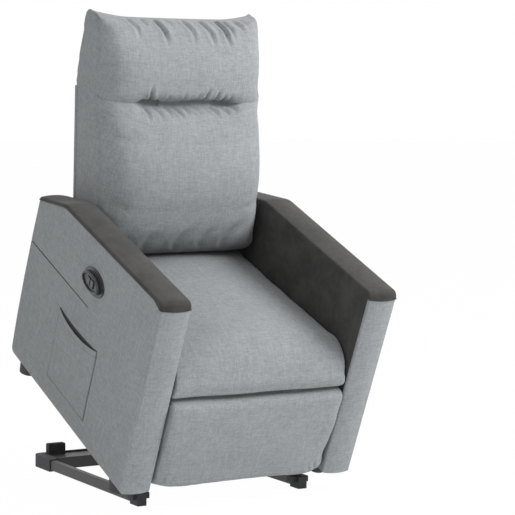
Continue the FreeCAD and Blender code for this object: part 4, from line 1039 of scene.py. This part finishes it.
class CHAIR_OT_pocket(bpy.types.Operator):
    """Sew the sagging pocket onto the right arm, with a dark patch of painted shade behind its mouth"""
    bl_idname = "chair.pocket"
    bl_label = "Side pocket"

    def execute(self, context):
        sizes = context.scene.chair_sizes
        rear, front, low, high = -0.237, -0.480, 0.106, 0.320
        face = -ARM_OUTER
        bag, across, up = cloth_patch("side_pocket_bag", 72, 64)
        belly = self.belly(across)
        mouth = high - 0.0165 * belly
        z = low + (mouth - low) * up
        y = rear + (front - rear) * across
        y += 0.002 * np.sin(up * 6.0) * (across - 0.5)
        gape = sizes.pocket_gape * belly * step(up, 0.25, 1.0) ** 1.4
        slack = 0.0012 * np.sin(across * 31.0 + up * 5.0) * np.sin(up * 9.0) * belly * up
        lift = 0.0012 + gape + slack * 0.5 + 0.0022 * belly * np.sin(up * math.pi)
        hem = step(up, 0.915, 0.925)
        lift += hem * 0.0008
        set_positions(bag.data, np.stack([face - lift, y, z], axis=1))
        # Painted shade along the stitch lines and round the edges where the bag meets the arm.
        stitches = np.zeros(len(up))
        for way, line, width in ((up, 0.918, 0.008), (across, 0.016, 0.006), (across, 0.984, 0.006),
                                 (up, 0.016, 0.007)):
            stitches = np.maximum(stitches, np.exp(-((way - line) / width) ** 2))
        border = np.maximum(1.0 - step(np.minimum(across, 1.0 - across), 0.0, 0.008),
                            1.0 - step(up, 0.0, 0.01))
        paint_crease_shade(bag.data, stitches * 0.42 + border * 0.6)
        thicken(bag, 0.0011)
        smooth(bag, 60.0)
        finish_piece(bag, "upholstery", stands_for=("side_pocket",))
        # A dark patch on the arm behind the mouth: painted shade for the hollow inside the pocket.
        lining, across, up = cloth_patch("side_pocket_lining", 36, 8)
        belly = self.belly(across)
        upper = high - 0.0085 * belly - 0.0006
        lower = high - 0.0165 * belly - 0.028 * belly - 0.004
        y = rear - 0.003 + (front - rear + 0.006) * across
        set_positions(lining.data, np.stack([np.full(len(y), face - 0.0005), y,
                                             lower + (upper - lower) * up], axis=1))
        thicken(lining, 0.0006)
        finish_piece(lining, "arm_cloth")
        return {"FINISHED"}

    def belly(self, across):
        """Sag of the pocket across its width: 0 at its side seams and 1 in the middle."""
        return (4.0 * across * (1.0 - across)) ** 0.75


class CHAIR_OT_control(bpy.types.Operator):
    """Add the rings and arrows of the control"""
    bl_idname = "chair.control"
    bl_label = "Control trim"

    def execute(self, context):
        face = -ARM_OUTER
        for name, long_half, short_half, x, radius in (
                ("control_ring_base", 0.0512, 0.0262, face - 0.0042, 0.0011),
                ("control_ring_rim", 0.0452, 0.0202, face - 0.0149, 0.0013),
                ("control_ring_inner", 0.0405, 0.0166, face - 0.0122, 0.0007)):
            ring = []
            for number in range(73):
                turn = math.tau * number / 72.0
                ring.append((x, CONTROL_Y + long_half * math.cos(turn),
                             CONTROL_Z + short_half * math.sin(turn)))
            finish_piece(tube_along(name, ring, radius), "gloss_control")
        mark, w, shader, place = new_material("printed_mark", 0.45)
        speck = w.noise(place, 2400.0, 2.0, 0.6)
        w.put(w.mix(speck, (0.10, 0.10, 0.105, 1.0), (0.16, 0.16, 0.165, 1.0)), shader.inputs["Base Color"])
        for name, body, sign in (("button_up_arrow", "button_up", 1.0),
                                 ("button_down_arrow", "button_down", -1.0)):
            middle = CONTROL_Y + sign * 0.0105
            points = [(0.0, 0.0052), (0.0042, -0.0005), (0.0015, -0.0005), (0.0015, -0.0052),
                      (-0.0015, -0.0052), (-0.0015, -0.0005), (-0.0042, -0.0005)]
            x = face - 0.0146
            arrow = side_prism(name, [(middle + a, CONTROL_Z + sign * b) for a, b in points],
                               x, x + 0.0002, {})
            finish_piece(arrow, "gloss_control", body, material=mark)
        return {"FINISHED"}


class CHAIR_OT_stage(bpy.types.Operator):
    """Set the floor, the lights and the camera"""
    bl_idname = "chair.stage"
    bl_label = "Stage"

    def execute(self, context):
        scene = context.scene
        tidy_selection()
        bpy.ops.mesh.primitive_plane_add(size=60.0, location=(0.0, 0.0, -0.0005))
        floor = context.object
        floor.name = "studio_floor"
        material = bpy.data.materials.new("studio_floor")
        material.use_nodes = True
        w = Wiring(material.node_tree)
        shader = material.node_tree.nodes["Principled BSDF"]
        settle(shader, Base_Color=colour(scene.chair_colours.floor), Roughness=0.9,
               Specular_IOR_Level=0.1)
        glow = w.node("ShaderNodeEmission")
        settle(glow, Color=WHITE)
        self.brighten(w, shader, glow, 0.985, "Material Output")
        floor.data.materials.append(material)

        world = bpy.data.worlds.new("studio")
        world.use_nodes = True
        scene.world = world
        w = Wiring(world.node_tree)
        dim = world.node_tree.nodes["Background"]
        settle(dim, Color=WHITE, Strength=0.38)
        bright = w.node("ShaderNodeBackground")
        settle(bright, Color=WHITE, Strength=1.0)
        self.brighten(w, dim, bright, 1.0, "World Output")

        for name, place, size, power in (("key", (2.6, -2.3, 3.0), 2.2, 172.0),
                                         ("fill", (-3.4, -2.2, 1.9), 2.6, 36.0),
                                         ("top", (0.2, 0.4, 4.0), 2.5, 24.0)):
            data = bpy.data.lights.new(name, "AREA")
            data.shape = "DISK"
            data.size = size
            data.energy = power
            lamp = bpy.data.objects.new(name, data)
            scene.collection.objects.link(lamp)
            lamp.location = place
            aim = Vector((0.0, 0.0, 0.65)) - Vector(place)
            lamp.rotation_euler = aim.to_track_quat("-Z", "Y").to_euler()

        data = bpy.data.cameras.new("camera")
        data.sensor_fit = "HORIZONTAL"
        data.sensor_width = 36.0
        data.lens = 142.71
        data.clip_end = 100.0
        camera = bpy.data.objects.new("camera", data)
        scene.collection.objects.link(camera)
        yaw, pitch, roll = math.radians(-31.17), math.radians(-4.91), math.radians(0.71)
        forward = Vector((-math.sin(yaw) * math.cos(pitch), math.cos(yaw) * math.cos(pitch),
                          math.sin(pitch)))
        right = forward.cross(Vector((0.0, 0.0, 1.0))).normalized()
        up = right.cross(forward)
        turned_right = right * math.cos(roll) + up * math.sin(roll)
        turned_up = up * math.cos(roll) - right * math.sin(roll)
        turn = Matrix((turned_right, turned_up, -forward)).transposed().to_4x4()
        camera.matrix_world = Matrix.Translation((-2.73897, -5.34047 + BASE_REAR, 1.11563)) @ turn
        scene.camera = camera
        scene.view_settings.view_transform = "Standard"
        return {"FINISHED"}

    def brighten(self, w, plain, bright, share, output):
        """Shows the camera and reflections bright in place of plain, by share."""
        path = w.node("ShaderNodeLightPath")
        seen = w.sum("MAXIMUM", path.outputs["Is Camera Ray"],
                     w.sum("MAXIMUM", path.outputs["Is Glossy Ray"], path.outputs["Is Transmission Ray"]))
        mixed = w.node("ShaderNodeMixShader")
        w.put(w.sum("MULTIPLY", seen, share), mixed.inputs[0])
        w.put(plain.outputs[0], mixed.inputs[1])
        w.put(bright.outputs[0], mixed.inputs[2])
        w.put(mixed.outputs[0], w.tree.nodes[output].inputs["Surface"])


class CHAIR_PT_panel(bpy.types.Panel):
    """Sizes, colours and steps of the recliner chair"""
    bl_idname = "CHAIR_PT_panel"
    bl_label = "Recliner"
    bl_space_type = "VIEW_3D"
    bl_region_type = "UI"
    bl_category = "Recliner"

    def draw(self, context):
        for step_class in STEPS:
            self.layout.operator(step_class.bl_idname)
        for group in (context.scene.chair_sizes, context.scene.chair_colours):
            for name in group.__annotations__:
                self.layout.prop(group, name)


STEPS = (CHAIR_OT_finishes, CHAIR_OT_cushions, CHAIR_OT_arms, CHAIR_OT_back_panel, CHAIR_OT_pocket,
         CHAIR_OT_control, CHAIR_OT_stage)
CLASSES = (ChairSizes, ChairColours, *STEPS, CHAIR_PT_panel)


def register():
    for item in CLASSES:
        bpy.utils.register_class(item)
    bpy.types.Scene.chair_sizes = bpy.props.PointerProperty(type=ChairSizes)
    bpy.types.Scene.chair_colours = bpy.props.PointerProperty(type=ChairColours)


def unregister():
    del bpy.types.Scene.chair_sizes
    del bpy.types.Scene.chair_colours
    for item in reversed(CLASSES):
        bpy.utils.unregister_class(item)


def main():
    register()
    bpy.ops.chair.finishes()
    bpy.ops.chair.cushions()
    bpy.ops.chair.arms()
    bpy.ops.chair.back_panel()
    bpy.ops.chair.pocket()
    bpy.ops.chair.control()
    bpy.ops.chair.stage()
    tidy_selection()


if __name__ == "__main__":
    main()
